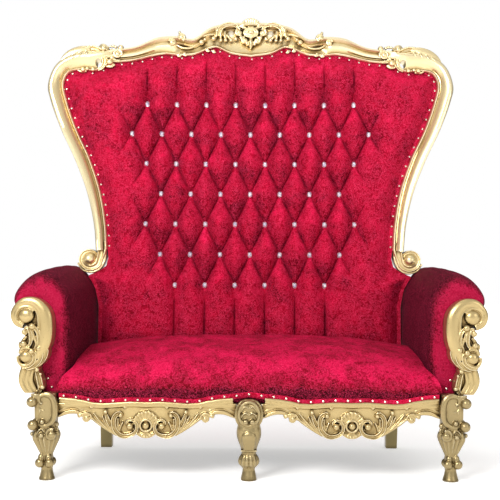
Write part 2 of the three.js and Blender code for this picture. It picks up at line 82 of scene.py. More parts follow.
def _front_line() -> float:
    """Returns the row-frame y of the front legs' centres, in metres, from the seat deck's place."""
    low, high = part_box("seat_deck")
    return (low[1] + high[1]) / 2 - DECK_CENTRE * MM


FRONT_LINE = _front_line()


# ---- Shape helpers ---------------------------------------------------------------------------


def between(start: float, end: float, s: float, a: np.ndarray, b: np.ndarray) -> np.ndarray:
    """Returns the point at s on a straight run from a, at start, to b, at end."""
    return (end - s) / (end - start) * a + (s - start) / (end - start) * b


def smooth_path(points: Sequence[Sequence[float]], per_span: int) -> np.ndarray:
    """Runs a centripetal Catmull-Rom curve through points of any dimension.

    Args:
        points: The points that the curve passes through.
        per_span: Samples between two points.

    Returns:
        One row for each sample, the last point included.
    """
    knots = np.asarray(points, dtype=float)
    padded = np.vstack([2 * knots[0] - knots[1], knots, 2 * knots[-1] - knots[-2]])
    rows = []
    for i in range(1, len(padded) - 2):
        p = padded[i - 1:i + 3]
        gaps = [max(np.linalg.norm(p[k + 1] - p[k]), 1e-6) ** 0.5 for k in range(3)]
        t = np.concatenate([[0.0], np.cumsum(gaps)])
        for s in np.linspace(t[1], t[2], per_span, endpoint=False):
            a = [between(t[k], t[k + 1], s, p[k], p[k + 1]) for k in range(3)]
            b = [between(t[k], t[k + 2], s, a[k], a[k + 1]) for k in range(2)]
            rows.append(between(t[1], t[2], s, *b))
    rows.append(knots[-1])
    return np.array(rows)


def smoothstep(low: float, high: float, value: np.ndarray | float) -> np.ndarray | float:
    """Returns 0 below low, 1 above high and an eased blend between them."""
    t = np.clip((value - low) / (high - low), 0, 1)
    return t * t * (3 - 2 * t)


def turns(count: int) -> np.ndarray:
    """Returns the angles of a full turn in equal steps."""
    return np.linspace(0, 2 * math.pi, count, endpoint=False)


def distance_to(line: np.ndarray, x: np.ndarray, z: np.ndarray) -> np.ndarray:
    """Returns the distance of each (x, z) to an open line of points."""
    best = np.full(x.shape, np.inf)
    for (ax, az), (bx, bz) in zip(line[:-1], line[1:]):
        dx, dz = bx - ax, bz - az
        t = np.clip(((x - ax) * dx + (z - az) * dz) / max(dx * dx + dz * dz, 1e-9), 0, 1)
        best = np.minimum(best, np.hypot(x - ax - t * dx, z - az - t * dz))
    return best


class Section(Enum):
    """Cross-sections of a carved strand, as (share across, share of the rise)."""

    ROUND = tuple((math.cos(a), math.sin(a)) for a in np.linspace(math.pi, 0, 9))
    RIDGED = (
        (-1, 0), (-0.75, 0.32), (-0.4, 0.62), (-0.12, 0.95), (0.12, 0.95), (0.4, 0.62), (0.75, 0.32), (1, 0),
    )
    GROOVED = (
        (-1, 0), (-0.95, 0.7), (-0.78, 1), (-0.55, 0.86), (-0.28, 0.42),
        (0.28, 0.42), (0.55, 0.86), (0.78, 1), (0.95, 0.7), (1, 0),
    )
    LIPPED = (
        (-1, 0), (-0.96, 0.5), (-0.84, 0.66), (-0.74, 0.5), (-0.66, 0.6), (-0.4, 0.9),
        (0, 1), (0.4, 0.9), (0.75, 0.6), (0.94, 0.3), (1, 0),
    )


ROUND, RIDGED, GROOVED, LIPPED = Section


@dataclass
class Skin:
    """Gathers the points and faces of one mesh, in millimetres."""

    points: list[Point] = field(default_factory=list)
    faces: list[tuple[int, ...]] = field(default_factory=list)

    def add(self, points: Iterable[Point], faces: Iterable[tuple[int, ...]]) -> None:
        """Adds points, and faces that number them from 0."""
        base = len(self.points)
        self.points.extend(points)
        self.faces.extend(tuple(base + i for i in face) for face in faces)

    def loft(self, rings: Sequence[Sequence[Point]], capped: bool = True) -> None:
        """Joins closed rings of equally many points by quads.

        Args:
            rings: The rings in order.
            capped: Whether each end is closed by a fan round its middle.
        """
        sides, count = len(rings[0]), len(rings)
        points = [p for ring in rings for p in ring]
        faces = []
        for start in range(0, (count - 1) * sides, sides):
            for s in range(sides):
                a, b = start + s, start + (s + 1) % sides
                faces.append((a, b, b + sides, a + sides))
        if capped:
            for ring, start in ((rings[0], 0), (rings[-1], (count - 1) * sides)):
                middle = len(points)
                points.append(tuple(np.mean(np.array(ring), axis=0)))
                faces.extend((middle, start + (s + 1) % sides, start + s) for s in range(sides))
        self.add(points, faces)

    def built(self, name: str) -> Piece:
        """Makes the mesh object, placed in the row frame with its faces turned out."""
        mesh = bpy.data.meshes.new(name)
        verts = [(x * MM, y * MM + FRONT_LINE, z * MM) for x, y, z in self.points]
        mesh.from_pydata(verts, [], self.faces)
        work = bmesh.new()
        work.from_mesh(mesh)
        bmesh.ops.remove_doubles(work, verts=work.verts, dist=0.02 * MM)
        bmesh.ops.dissolve_degenerate(work, edges=work.edges, dist=0.005 * MM)
        bmesh.ops.recalc_face_normals(work, faces=work.faces)
        work.to_mesh(mesh)
        work.free()
        piece = bpy.data.objects.new(name, mesh)
        bpy.context.scene.collection.objects.link(piece)
        return piece


def only(piece: Piece) -> None:
    """Makes one object the selected and active one."""
    bpy.ops.object.select_all(action="DESELECT")
    piece.select_set(True)
    bpy.context.view_layer.objects.active = piece


def modified(piece: Piece, kind: str, **settings: object) -> None:
    """Adds a modifier with its settings and applies it."""
    only(piece)
    modifier = piece.modifiers.new(kind.title(), kind)
    for key, value in settings.items():
        setattr(modifier, key, value)
    bpy.ops.object.modifier_apply(modifier=modifier.name)


def triangles_of(piece: Piece) -> int:
    """Returns how many triangles a piece's mesh has."""
    return sum(len(face.vertices) - 2 for face in piece.data.polygons)


def softened(piece: Piece, angle: float) -> None:
    """Shades a piece smooth, except over edges sharper than an angle in degrees."""
    only(piece)
    bpy.ops.object.shade_smooth_by_angle(angle=math.radians(angle))


def lofted(name: str, rings: Sequence[Sequence[Point]], crease: float = 60) -> Piece:
    """Builds a smooth piece from closed rings, with creases sharper than an angle kept."""
    skin = Skin()
    skin.loft(rings)
    piece = skin.built(name)
    softened(piece, crease)
    return piece


def fused(skin: Skin, name: str, limit: int, grain: float = 1.8) -> Piece:
    """Runs a carving's overlapping strands and beads together, as one block of wood.

    Args:
        skin: The strands and beads.
        name: The piece's name.
        limit: The most triangles to keep.
        grain: The size of the fused surface's cells, in millimetres.

    Returns:
        The carved piece.
    """
    piece = skin.built(name)
    modified(piece, "REMESH", mode="VOXEL", voxel_size=grain * MM)
    modified(piece, "SMOOTH", factor=0.5, iterations=2)
    share = limit / max(triangles_of(piece), 1)
    if share < 1:
        modified(piece, "DECIMATE", ratio=share)
    softened(piece, 70)
    return piece


def mirrored(piece: Piece, name: str) -> Piece:
    """Returns a copy of a piece, with its own mesh, on the other side of x = 0."""
    copy = piece.copy()
    copy.name = name
    copy.data = piece.data.copy()
    copy.data.name = name
    copy.data.transform(Matrix.Scale(-1, 4, (1, 0, 0)))
    copy.data.flip_normals()
    bpy.context.scene.collection.objects.link(copy)
    return copy


# ---- Materials -------------------------------------------------------------------------------


def linear(colour: str) -> tuple[float, float, float, float]:
    """Turns an sRGB hex colour to linear RGBA."""
    parts = [int(colour[i:i + 2], 16) / 255 for i in (1, 3, 5)]
    return (*[c / 12.92 if c <= 0.04045 else ((c + 0.055) / 1.055) ** 2.4 for c in parts], 1.0)


def feed(tree: Tree, node: Node, inputs: dict) -> None:
    """Links sockets to a node's inputs, or sets the inputs' values."""
    for key, value in inputs.items():
        if isinstance(value, Socket):
            tree.links.new(value, node.inputs[key])
        else:
            node.inputs[key].default_value = value


def add_node(tree: Tree, kind: str, inputs: dict | None = None, **settings: object) -> Node:
    """Adds a node to a tree, with what goes into its inputs and its properties."""
    node = tree.nodes.new(kind)
    for key, value in settings.items():
        setattr(node, key, value)
    feed(tree, node, inputs or {})
    return node


def mapped(tree: Tree, value: Socket, start: float, end: float, low: float, high: float) -> Socket:
    """Returns low where a value is start, high where it is end, and a straight blend between them."""
    return add_node(tree, "ShaderNodeMapRange", {0: value, 1: start, 2: end, 3: low, 4: high}).outputs[0]


class Recipe:
    """A material in the making: its node tree, its shader and the piece's own coordinates."""

    def __init__(self, name: str) -> None:
        """Starts a node material."""
        self.material = bpy.data.materials.new(name)
        self.material.use_nodes = True
        self.tree = self.material.node_tree
        self.shader = next(node for node in self.tree.nodes if node.type == "BSDF_PRINCIPLED")
        self.place = self.node("ShaderNodeTexCoord").outputs["Object"]

    def node(self, kind: str, inputs: dict | None = None, **settings: object) -> Node:
        """Adds a node."""
        return add_node(self.tree, kind, inputs, **settings)

    def noise(self, size: float, detail: float, roughness: float = 0.5, distortion: float = 0.0) -> Socket:
        """Returns a noise whose features are about size millimetres across."""
        inputs = {"Vector": self.place, "Scale": 1 / (size * MM), "Detail": detail}
        inputs.update({"Roughness": roughness, "Distortion": distortion})
        return self.node("ShaderNodeTexNoise", inputs).outputs[0]

    def scaled(self, value: Socket, factor: float, added: Socket | float) -> Socket:
        """Returns a value times a factor, with something added."""
        inputs = {0: value, 1: factor, 2: added}
        return self.node("ShaderNodeMath", inputs, operation="MULTIPLY_ADD").outputs[0]

    def ramp(self, factor: Socket, *stops: tuple[float, str]) -> Socket:
        """Returns a colour ramp over (position, hex) stops."""
        node = self.node("ShaderNodeValToRGB", {0: factor})
        elements = node.color_ramp.elements
        for element, (position, colour) in zip(elements, (stops[0], stops[-1])):
            element.position, element.color = position, linear(colour)
        for position, colour in stops[1:-1]:
            elements.new(position).color = linear(colour)
        return node.outputs[0]

    def mixed(self, share: Socket, ground: Socket, colour: str) -> Socket:
        """Returns a ground colour with a share of a plain colour over it."""
        inputs = {0: share, 6: ground, 7: linear(colour)}
        return self.node("ShaderNodeMix", inputs, data_type="RGBA").outputs[2]

    def bump(self, height: Socket, strength: float, tall: float) -> Socket:
        """Returns the normal of a surface raised by a height, up to tall millimetres."""
        inputs = {"Height": height, "Strength": strength, "Distance": tall * MM}
        return self.node("ShaderNodeBump", inputs).outputs[0]

    def made(self, inputs: dict) -> Material:
        """Feeds the shader and returns the finished material."""
        feed(self.tree, self.shader, inputs)
        return self.material


@dataclass(frozen=True)
class Gilding:
    """Burnished gold leaf on carved beech: its edges worn light and given a painted highlight, its recesses
    toned brown and darkened by painted shade.
    """

    name: str = "gold_leaf_on_beech"
    # the colour deep in recesses: toning and painted shade
    shaded_hollow: str = "#4A3414"
    field_tone: str = "#B69B68"
    leaf: str = "#DCC99A"
    # the colour of worn edges, lightened further as a painted highlight
    rubbed_highlight: str = "#FFF4D2"
    tone_size: float = 70.0  # patches of toning
    tone_share: float = 0.22  # how much the patches change the tone
    grain_size: float = 5.0  # brush marks of the gesso under the leaf
    shaded_hollow_reach: float = 20.0  # width of a recess that is toned and darkened by painted shade
    highlight_edge: tuple[float, float] = (0.515, 0.59)  # sharpness where the worn edge and its painted highlight start, and are full
    highlight_share: float = 0.85
    gloss: tuple[float, float] = (0.27, 0.36)  # roughness of the smoothest and the dullest grain

    def made(self) -> Material:
        """Builds the material."""
        gold = Recipe(self.name)
        # Ambient occlusion darkens the recesses: partly toning wax, which stays there, and partly painted
        # shade. Both make the relief read from across a room.
        reach = {"Distance": self.shaded_hollow_reach * MM}
        unshaded_share = gold.node("ShaderNodeAmbientOcclusion", reach, samples=8).outputs["AO"]
        tone_and_shade = gold.scaled(gold.noise(self.tone_size, 3.0), self.tone_share, unshaded_share)
        leafed_and_shaded = gold.ramp(tone_and_shade, (0.40, self.shaded_hollow), (0.80, self.field_tone), (1.0, self.leaf))
        # Sharp edges are lightened: partly wear, partly a painted highlight.
        edge = gold.node("ShaderNodeNewGeometry").outputs["Pointiness"]
        edge_highlight = mapped(gold.tree, edge, *self.highlight_edge, 0.0, self.highlight_share)
        grain = gold.noise(self.grain_size, 4.0)
        return gold.made({
            "Base Color": gold.mixed(edge_highlight, leafed_and_shaded, self.rubbed_highlight),
            "Roughness": mapped(gold.tree, grain, 0.3, 0.7, *self.gloss),
            "Normal": gold.bump(grain, 0.03, 0.8),
            "Metallic": 0.86,
        })


@dataclass(frozen=True)
class CrushedVelvet:
    """Crushed polyester velvet: its nap lies every way, so fine threads flash pink on deep crimson; faces
    turned one way are painted brighter and faces turned away darker, as painted light and shade.
    """

    name: str = "crushed_velvet"
    deep: str = "#5E0012"
    body: str = "#82001A"
    bright: str = "#A20327"
    crown: str = "#D01044"
    flash: str = "#FF4A7C"
    painted_light_from: Point = (0.0, -0.45, 0.89)  # the way the painted light comes from: faces turned this way are painted brightest
    painted_light_gain: float = 0.30  # how much brighter the painted light makes it there
    painted_light_pivot: float = 0.5  # how squarely a face meets the painted light where it is neither brightened nor darkened
    shade: float = -0.30  # evens out what the patches and flecks add
    patch_size: float = 75.0  # where the nap lies one way
    patch_share: float = 0.8
    fleck_size: float = 13.0  # crushed flecks, drawn coarser than life so that they show
    fleck_share: float = 0.8
    pile_size: float = 2.0  # the pile itself, coarser than life too
    thread_level: float = 0.53  # the flecks' value along which a thread runs
    thread_reach: float = 0.035
    thread_share: float = 0.48

    def made(self) -> Material:
        """Builds the material."""
        velvet = Recipe(self.name)
        patch = velvet.noise(self.patch_size, 2.0, distortion=0.6)
        fleck = velvet.noise(self.fleck_size, 4.0, roughness=0.6, distortion=2.0)
        pile = velvet.noise(self.pile_size, 1.0)
        lay = velvet.scaled(patch, self.patch_share, self.shade - self.painted_light_pivot * self.painted_light_gain)
        crushed = velvet.scaled(fleck, self.fleck_share, lay)
        # Painted light and shade: faces turned towards the chosen direction are painted brighter, faces
        # turned away darker.
        normal = velvet.node("ShaderNodeNewGeometry").outputs["Normal"]
        facing = velvet.node("ShaderNodeVectorMath", {0: normal, 1: self.painted_light_from}, operation="DOT_PRODUCT")
        mottled_and_lit = velvet.scaled(facing.outputs["Value"], self.painted_light_gain, crushed)
        stops = ((0.22, self.deep), (0.39, self.body), (0.64, self.bright), (0.90, self.crown))
        # Threads of nap that catch the light run between the flecks.
        offset = velvet.node("ShaderNodeMath", {0: fleck, 1: self.thread_level}, operation="SUBTRACT")
        away = velvet.node("ShaderNodeMath", {0: offset.outputs[0]}, operation="ABSOLUTE").outputs[0]
        thread = mapped(velvet.tree, away, 0.0, self.thread_reach, self.thread_share, 0.0)
        return velvet.made({
            "Base Color": velvet.mixed(thread, velvet.ramp(mottled_and_lit, *stops), self.flash),
            "Normal": velvet.bump(velvet.scaled(pile, 0.3, fleck), 0.6, 4.0),
            "Roughness": 0.7,
            "Sheen Weight": 0.08,
            "Sheen Roughness": 0.45,
            "Sheen Tint": linear("#FF4A7C"),
            "Specular IOR Level": 0.06,
        })


def cut_crystal() -> Material:
    """Makes foil-backed cut glass: each facet is a small cool mirror."""
    crystal = Recipe("foil_backed_crystal")
    tint = crystal.ramp(crystal.noise(6.0, 1.0), (0.35, "#B9B4D6"), (0.5, "#E6E2F2"), (0.62, "#FFFFFF"))
    return crystal.made({"Base Color": tint, "Metallic": 0.7, "Roughness": 0.08, "Coat Weight": 1.0})


def nickel_stud() -> Material:
    """Makes polished nickel-plated steel for nail heads, pale and a little warm."""
    nickel = Recipe("nickel_plated_nail_head")
    wear = nickel.ramp(nickel.noise(4.0, 2.0), (0.3, "#C9B7A4"), (0.6, "#F2E6D8"))
    return nickel.made({"Base Color": wear, "Metallic": 0.9, "Roughness": 0.2})


def dust_cloth(dimple: float = 3.0) -> Material:
    """Makes black spun-bonded polypropylene, with its bonding points drawn coarser than life."""
    cloth = Recipe("spun_bonded_dust_cloth")
    inputs = {"Vector": cloth.place, "Scale": 1 / (dimple * MM), "Randomness": 0.2}
    dots = cloth.node("ShaderNodeTexVoronoi", inputs).outputs[0]
    return cloth.made({
        "Base Color": cloth.ramp(dots, (0.1, "#0C0B0B"), (0.5, "#161414")),
        "Normal": cloth.bump(dots, 0.4, 0.5),
        "Roughness": 0.95,
    })


def studio_paper(glow_from: float = 1.7, glow_to: float = 4.2) -> Material:
    """Makes matt white background paper that glows as painted light, more weakly near the throne and fully
    away from it.

    Args:
        glow_from: Metres from the middle, where the paper's painted glow starts to rise.
        glow_to: Metres from the middle, where the glow is full.

    Returns:
        The material.
    """
    paper = Recipe("matt_background_paper")
    away = paper.node("ShaderNodeVectorMath", {0: paper.place}, operation="LENGTH").outputs["Value"]
    # The paper glows as painted light, weaker near the throne and full far from it.
    return paper.made({
        "Base Color": paper.ramp(paper.noise(300.0, 2.0), (0.3, "#F3F2F0"), (0.7, "#F6F5F3")),
        "Emission Strength": mapped(paper.tree, away, glow_from, glow_to, 0.45, 1.0),
        "Emission Color": linear("#FFFFFF"),
        "Roughness": 0.9,
    })


class Finishes:
    """The throne's materials, each made once."""

    def __init__(self) -> None:
        """Builds every finish."""
        self.gold = Gilding().made()
        # Darker copies of the gold leaf: one for the arm facings and front rails, one for the front legs.
        self.facing_and_rail_gold = Gilding("toned_gold_leaf_on_beech", "#33220A", "#8B7346", "#B6A070").made()
        self.leg_gold = Gilding("gold_leaf_on_beech_for_legs", "#24170A", "#6B5A38", "#9A8860", "#F6EAC8").made()
        # The back legs and the side and rear rails get a darker copy of the gold leaf: painted shade.
        self.shaded_gold = Gilding("gold_leaf_on_beech_in_painted_shade", "#2B2110", "#5B4E2E", "#7E7048", "#A99A70").made()
        self.velvet = CrushedVelvet().made()
        # The seat's copy paints strong light where it faces up and forward over its crown, and shade on its
        # low front.
        self.seat_velvet = CrushedVelvet(
            "crushed_velvet_on_seat", "#38000A", "#5C000D", "#80021E", "#BC0C3E", "#F03C6C",
            painted_light_from=(0.0, -0.55, 0.83), painted_light_gain=1.15, painted_light_pivot=0.72,
        ).made()
        # The arms' copy is darker, as painted shade, with painted light where they face the front.
        self.shaded_arm_velvet = CrushedVelvet(
            "crushed_velvet_in_painted_shade", "#2A0006", "#3C020B", "#5E0216", "#960A30", "#C8365E",
            painted_light_from=(0.0, -0.99, 0.14), painted_light_gain=0.9, painted_light_pivot=0.55,
        ).made()
        self.crystal = cut_crystal()
        self.stud = nickel_stud()
        self.dust = dust_cloth()
        self.paper = studio_paper()


def dressed(piece: Piece, material: Material, slot: str, *nodes: str, pad: float | None = None) -> None:
    """Gives a piece its material, puts it in the root body and hides the CAD nodes that it replaces.

    Args:
        piece: The finished object.
        material: Its material.
        slot: A material slot's name; not used.
        *nodes: CAD nodes that it replaces.
        pad: How tightly a padded piece is filled; not used.
    """
    piece.data.materials.clear()
    piece.data.materials.append(material)
    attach(piece, "root")
    if nodes:
        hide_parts(*nodes)
    LOG.info("%s: %d triangles", piece.name, triangles_of(piece))


def dressed_pair(right: Piece, material: Material, slot: str, node: str, pad: float | None = None) -> None:
    """Mirrors a right-hand piece and dresses both, each for the CAD node of its own side."""
    left = mirrored(right, right.name.replace("right", "left"))
    dressed(right, material, slot, node, pad=pad)
    dressed(left, material, slot, node.replace("right", "left"), pad=pad)


# ---- Carving ---------------------------------------------------------------------------------


FINEST_TIP = 0.4  # the least half width of a strand


@dataclass
class Carving:
    """A panel that strands, beads and shells are carved on, gathered in one skin.

    Args:
        place: Takes (u, v, d) on the panel to (x, y, z) in millimetres.
        skin: What the carving is added to.
        back: The depth of the strands' flat backs.
    """

    place: Placing
    skin: Skin = field(default_factory=Skin)
    back: float = 0.0

    def backed(self, line: Sequence[Point], back: float | None) -> list[Point]:
        """Places a strand's section, closed by its flat back."""
        depth = self.back if back is None else back
        ends = [(u, v, depth) for u, v, _ in (line[0], line[-1])]
        return [self.place(*p) for p in (ends[0], *line, ends[1])]

    def strand(self, section: Section, floor: float, rise: float, *knots: Sequence[float],
               back: float | None = None, steps: int = 8) -> None:
        """Carves a strand along a smooth run.

        Args:
            section: The strand's cross-section.
            floor: The height of its edges.
            rise: The height of its crown over the floor for each unit of half width.
            *knots: Points (u, v, half width), or with a fourth number, the floor's height there.
            back: The depth of its flat back, where it isn't the panel's.
            steps: Rings between two points.
        """
        path = smooth_path([(*knot, floor) if len(knot) == 3 else knot for knot in knots], steps)
        tangent = np.gradient(path[:, :2], axis=0)
        tangent /= np.maximum(np.linalg.norm(tangent, axis=1, keepdims=True), 1e-9)
        rings = []
        for (u, v, half, base), (tu, tv) in zip(path, tangent):
            r = max(half, FINEST_TIP)
            line = [
                (u - tv * r * across, v + tu * r * across, base + height * r * rise)
                for across, height in section.value
            ]
            rings.append(self.backed(line, back))
        self.skin.loft(rings)

    def bead(self, u: float, v: float, r: float, d: float, tall: float = 1.0, deep: float = 1.0,
             rings: int = 10) -> None:
        """Carves a ball, or an egg that is tall times higher and deep times thicker."""
        stack = []
        for i in range(1, rings):
            angle = math.pi * i / rings
            out, size = math.cos(angle) * r * deep, math.sin(angle) * r
            stack.append([
                self.place(u + size * math.cos(t), v + size * tall * math.sin(t), d + out)
                for t in turns(rings * 2 - 4)
            ])
        self.skin.loft(stack)

    def ring(self, u: float, v: float, wide: float, high: float, half: float, floor: float,
             rise: float = 1.0, back: float | None = None) -> None:
        """Carves an oval ring of a round strand."""
        rings = []
        for t in np.linspace(0, 2 * math.pi, 41):
            nu, nv = math.cos(t) * high, math.sin(t) * wide
            size = math.hypot(nu, nv)
            line = []
            for across, height in ROUND.value:
                across_u = u + wide * math.cos(t) + nu / size * half * across
                across_v = v + high * math.sin(t) + nv / size * half * across
                line.append((across_u, across_v, floor + height * half * rise))
            rings.append(self.backed(line, back))
        self.skin.loft(rings, capped=False)

    def fan(self, u: float, v: float, inner: float, outer: float, start: float, end: float, ribs: int,
            floor: float, flat: float = 1.0) -> None:
        """Carves the ribs of a shell round a centre, between two angles in degrees."""
        spread = math.radians(end - start) / max(ribs - 1, 1)
        reach = [inner, inner + (outer - inner) * 0.55, outer * 0.93, outer]
        halves = [abs(spread) * r * 0.52 for r in reach[:3]] + [abs(spread) * outer * 0.3]
        for i in range(ribs):
            angle = math.radians(start) + spread * i
            knots = [
                (u + math.cos(angle) * r, v + math.sin(angle) * r * flat, half)
                for r, half in zip(reach, halves)
            ]
            self.strand(ROUND, floor, 1.0, *knots, steps=4)

    def volute(self, u: float, v: float, outer: float, inner: float, start: float, turn: float,
               halves: tuple[float, float], floor: float, eye: float, back: float | None = None) -> None:
        """Carves a scroll that winds in to an eye.

        Args:
            u: The eye's place across.
            v: The eye's place up.
            outer: The radius where the scroll starts.
            inner: The radius where it ends.
            start: The angle of its start, in degrees.
            turn: How far it goes round, in whole turns, negative for clockwise.
            halves: Half widths at its start and end.
            floor: The height of its edges.
            eye: The radius of the ball in the middle.
            back: The depth of its flat back, where it isn't the panel's.
        """
        self.strand(ROUND, floor, 1.0, *spiral(u, v, outer, inner, start, turn, *halves), back=back, steps=5)
        self.bead(u, v, eye, floor + eye * 0.1, deep=0.8)


def spiral(u: float, v: float, outer: float, inner: float, start: float, turn: float,
           wide: float, narrow: float) -> list[Point]:
    """Returns (u, v, half width) points that wind round a centre."""
    count = max(5, round(abs(turn) * 9))
    points = []
    for i in range(count):
        t = i / (count - 1)
        angle = math.radians(start) + 2 * math.pi * turn * t
        radius = outer + (inner - outer) * t
        half = wide + (narrow - wide) * t
        points.append((u + math.cos(angle) * radius, v + math.sin(angle) * radius, half))
    return points


# ---- The back's plane -------------------------------------------------------------------------

SEAT_Z = 450.0  # the height that the back leans from
BACK_Y = 660.0  # its place at that height
LEAN = 0.1  # how far it leans back for each unit of height
WING_X = 860.0
WRAP = 60.0  # how far its sides come forward at WING_X


def back_y(x: np.ndarray | float, z: np.ndarray | float) -> np.ndarray | float:
    """Returns the y of the leaning back, whose sides come forward."""
    return BACK_Y + LEAN * (z - SEAT_Z) - WRAP * (x / WING_X) ** 2


def on_back(u: float, v: float, d: float) -> Point:
    """Places a carved point on the back."""
    return (u, back_y(u, v) - d, v)


def on_side(side: int) -> Placing:
    """Returns the placing of points on the back's right side (1) or its left (-1)."""
    return lambda u, v, d: (u * side, back_y(u, v) - d, v)


INNER_EDGE = (
    (602, 836), (609, 940), (634, 1082), (682, 1225), (738, 1345), (782, 1470), (797, 1541), (778, 1592),
    (728, 1606), (660, 1606), (603, 1638), (500, 1654), (380, 1684), (306, 1680), (240, 1686), (156, 1718),
    (90, 1692), (0, 1678),
)
OUTER_EDGE = (
    (650, 830), (661, 940), (694, 1082), (749, 1225), (808, 1350), (854, 1475), (866, 1542), (836, 1626),
    (766, 1682), (684, 1698), (624, 1700), (500, 1718), (404, 1762), (325, 1770), (252, 1760), (176, 1811),
    (92, 1831), (0, 1834),
)


@dataclass
class BackFrame:
    """The back's gilded frame: a moulded border with scrolls, shoulders and a pierced crest."""

    finishes: Finishes
    rear: float = -35.0
    carving_rear: float = -26.0
    # Holes beside the crest's boss and in the shoulders: (x, z, half width, half height).
    piercings: tuple[tuple[float, ...], ...] = ((86, 1783, 13, 11), (655, 1640, 13, 18))

    def section(self, width: float, x: float) -> list[tuple[float, float]]:
        """Returns the border's section as (distance from the inner edge, depth).

        Args:
            width: The border's width there.
            x: How far the station is from the middle.

        Returns:
            Points from the inner wall over the face and round the back.
        """
        w = width
        lip = [(0, 4), (0, 29), (1.5, 34), (5, 37), (8.5, 35.5), (11, 30.5), (13.5, 28)]
        stile = [
            (18, 29), (0.36 * w, 37), (0.5 * w, 43.5), (0.62 * w, 47.5), (0.74 * w, 49), (0.85 * w, 46),
            (0.94 * w, 38),
        ]
        rail = [
            (18, 30), (0.34 * w, 40), (0.46 * w, 43), (0.58 * w, 40), (0.68 * w, 37), (0.82 * w, 47),
            (0.93 * w, 45),
        ]
        crest = [
            (22, 25), (0.45 * w, 24), (w - 44, 28), (w - 35, 41), (w - 26, 36), (w - 15, 47), (w - 6, 45),
        ]
        to_rail = smoothstep(640, 560, x)
        to_crest = smoothstep(350, 310, x)
        face = []
        for a, b, c in zip(stile, rail, crest):
            s = a[0] + (b[0] - a[0]) * to_rail
            d = a[1] + (b[1] - a[1]) * to_rail
            face.append((s + (c[0] - s) * to_crest, d + (c[1] - d) * to_crest))
        sides = [(w, 22), (w, -24), (w - 3, -32), (w - 9, self.rear), (9, self.rear), (3, -32), (0, -24)]
        return [*lip, *face, *sides]

    def border(self) -> Piece:
        """Builds the moulded border and pierces it."""
        path = smooth_path([(*a, *b) for a, b in zip(INNER_EDGE, OUTER_EDGE)], 16)
        stations = [(1, row) for row in path] + [(-1, row) for row in path[-2::-1]]
        rings = []
        for side, (ix, iz, ox, oz) in stations:
            width = math.hypot(ox - ix, oz - iz)
            ring = []
            for s, d in self.section(width, (ix + ox) / 2):
                x, z = ix + (ox - ix) * s / width, iz + (oz - iz) * s / width
                ring.append((x * side, back_y(x, z) - d, z))
            rings.append(ring)
        skin = Skin()
        skin.loft(rings)
        border = skin.built("back_border")
        for x, z, wide, high in self.piercings:
            outline = [(x + wide * math.cos(t), z + high * math.sin(t)) for t in turns(32)]
            for side in (-1, 1):
                place = on_side(side)
                cutter = Skin()
                cutter.loft([[place(u, v, d) for u, v in outline] for d in (-80, 120)])
                tool = cutter.built("cutter")
                modified(border, "BOOLEAN", operation="DIFFERENCE", object=tool, solver="EXACT")
                bpy.data.objects.remove(tool)
        softened(border, 35)
        return border

    def crest(self) -> Piece:
        """Builds the crest: an oval boss under a shell, between pierced scrolls with leaves."""
        skin = Skin()
        for side in (1, -1):
            c = Carving(on_side(side), skin, self.carving_rear)
            # The hooked scroll over the gallery, with its curl beside the boss.
            c.strand(GROOVED, 40, 0.9, (140, 1768, 9), (137, 1794, 11), (120, 1812, 11), (94, 1820, 11),
                     (68, 1816, 9), (54, 1802, 7), (52, 1790, 5))
            c.volute(52, 1784, 15, 9, 60, -0.8, (5, 3), 46, 9)
            # The gallery's drops, each on a bead.
            c.strand(RIDGED, 42, 1.0, (124, 1800, 6), (131, 1776, 8), (130, 1752, 5), back=0)
            c.strand(RIDGED, 44, 1.0, (112, 1790, 5), (113, 1770, 7), (109, 1752, 5), back=0)
            c.strand(RIDGED, 44, 1.0, (104, 1774, 5), (96, 1762, 6), (87, 1752, 4), back=0)
            c.strand(RIDGED, 42, 0.9, (152, 1806, 6), (147, 1784, 8), (152, 1768, 7), (160, 1758, 5),
                     back=0)
            for u, v, r in ((130, 1750, 8), (109, 1750, 8), (86, 1750, 8), (66, 1756, 9), (161, 1757, 10)):
                c.bead(u, v, r, 42)
            # Curls under and over the boss.
            c.volute(27, 1750, 14, 8, 90, -0.9, (5, 3.5), 46, 8, back=10)
            c.strand(ROUND, 46, 0.9, (44, 1772, 5), (42, 1760, 7), (32, 1762, 5), back=0)
            c.volute(33, 1818, 10, 6, 150, -0.9, (4.5, 3), 42, 7)
            c.strand(ROUND, 42, 0.9, (20, 1806, 5), (30, 1806, 5), (44, 1812, 4), (50, 1822, 3))
            c.strand(RIDGED, 44, 0.9, (10, 1742, 4), (18, 1736, 5), (12, 1728, 3), back=10)
            # The stems that run out along the top, their end curls and the beads under them.
            c.strand(ROUND, 36, 0.9, (302, 1754, 5), (272, 1744, 6), (240, 1754, 6), (212, 1766, 6),
                     (180, 1776, 6), (158, 1776, 5), back=0)
            c.strand(ROUND, 33, 1.0, (322, 1728, 4), (296, 1716, 5), (262, 1716, 5), (234, 1732, 5),
                     (214, 1748, 4), back=0)
            c.volute(301, 1760, 16, 10, 250, -0.9, (6, 4), 44, 11)
            c.strand(RIDGED, 40, 1.0, (303, 1776, 5), (310, 1782, 5), (306, 1788, 3))
            c.volute(341, 1738, 15, 9, 20, 0.9, (6, 4), 42, 11, back=0)
            c.bead(214, 1740, 12, 40)
            c.bead(199, 1752, 7, 42)
            for u, v, r in ((187, 1708, 9), (160, 1702, 8), (311, 1684, 9), (285, 1688, 9)):
                c.volute(u, v, r, r * 0.5, 200, 0.8, (r * 0.4, r * 0.3), 36, r * 0.6, back=0)
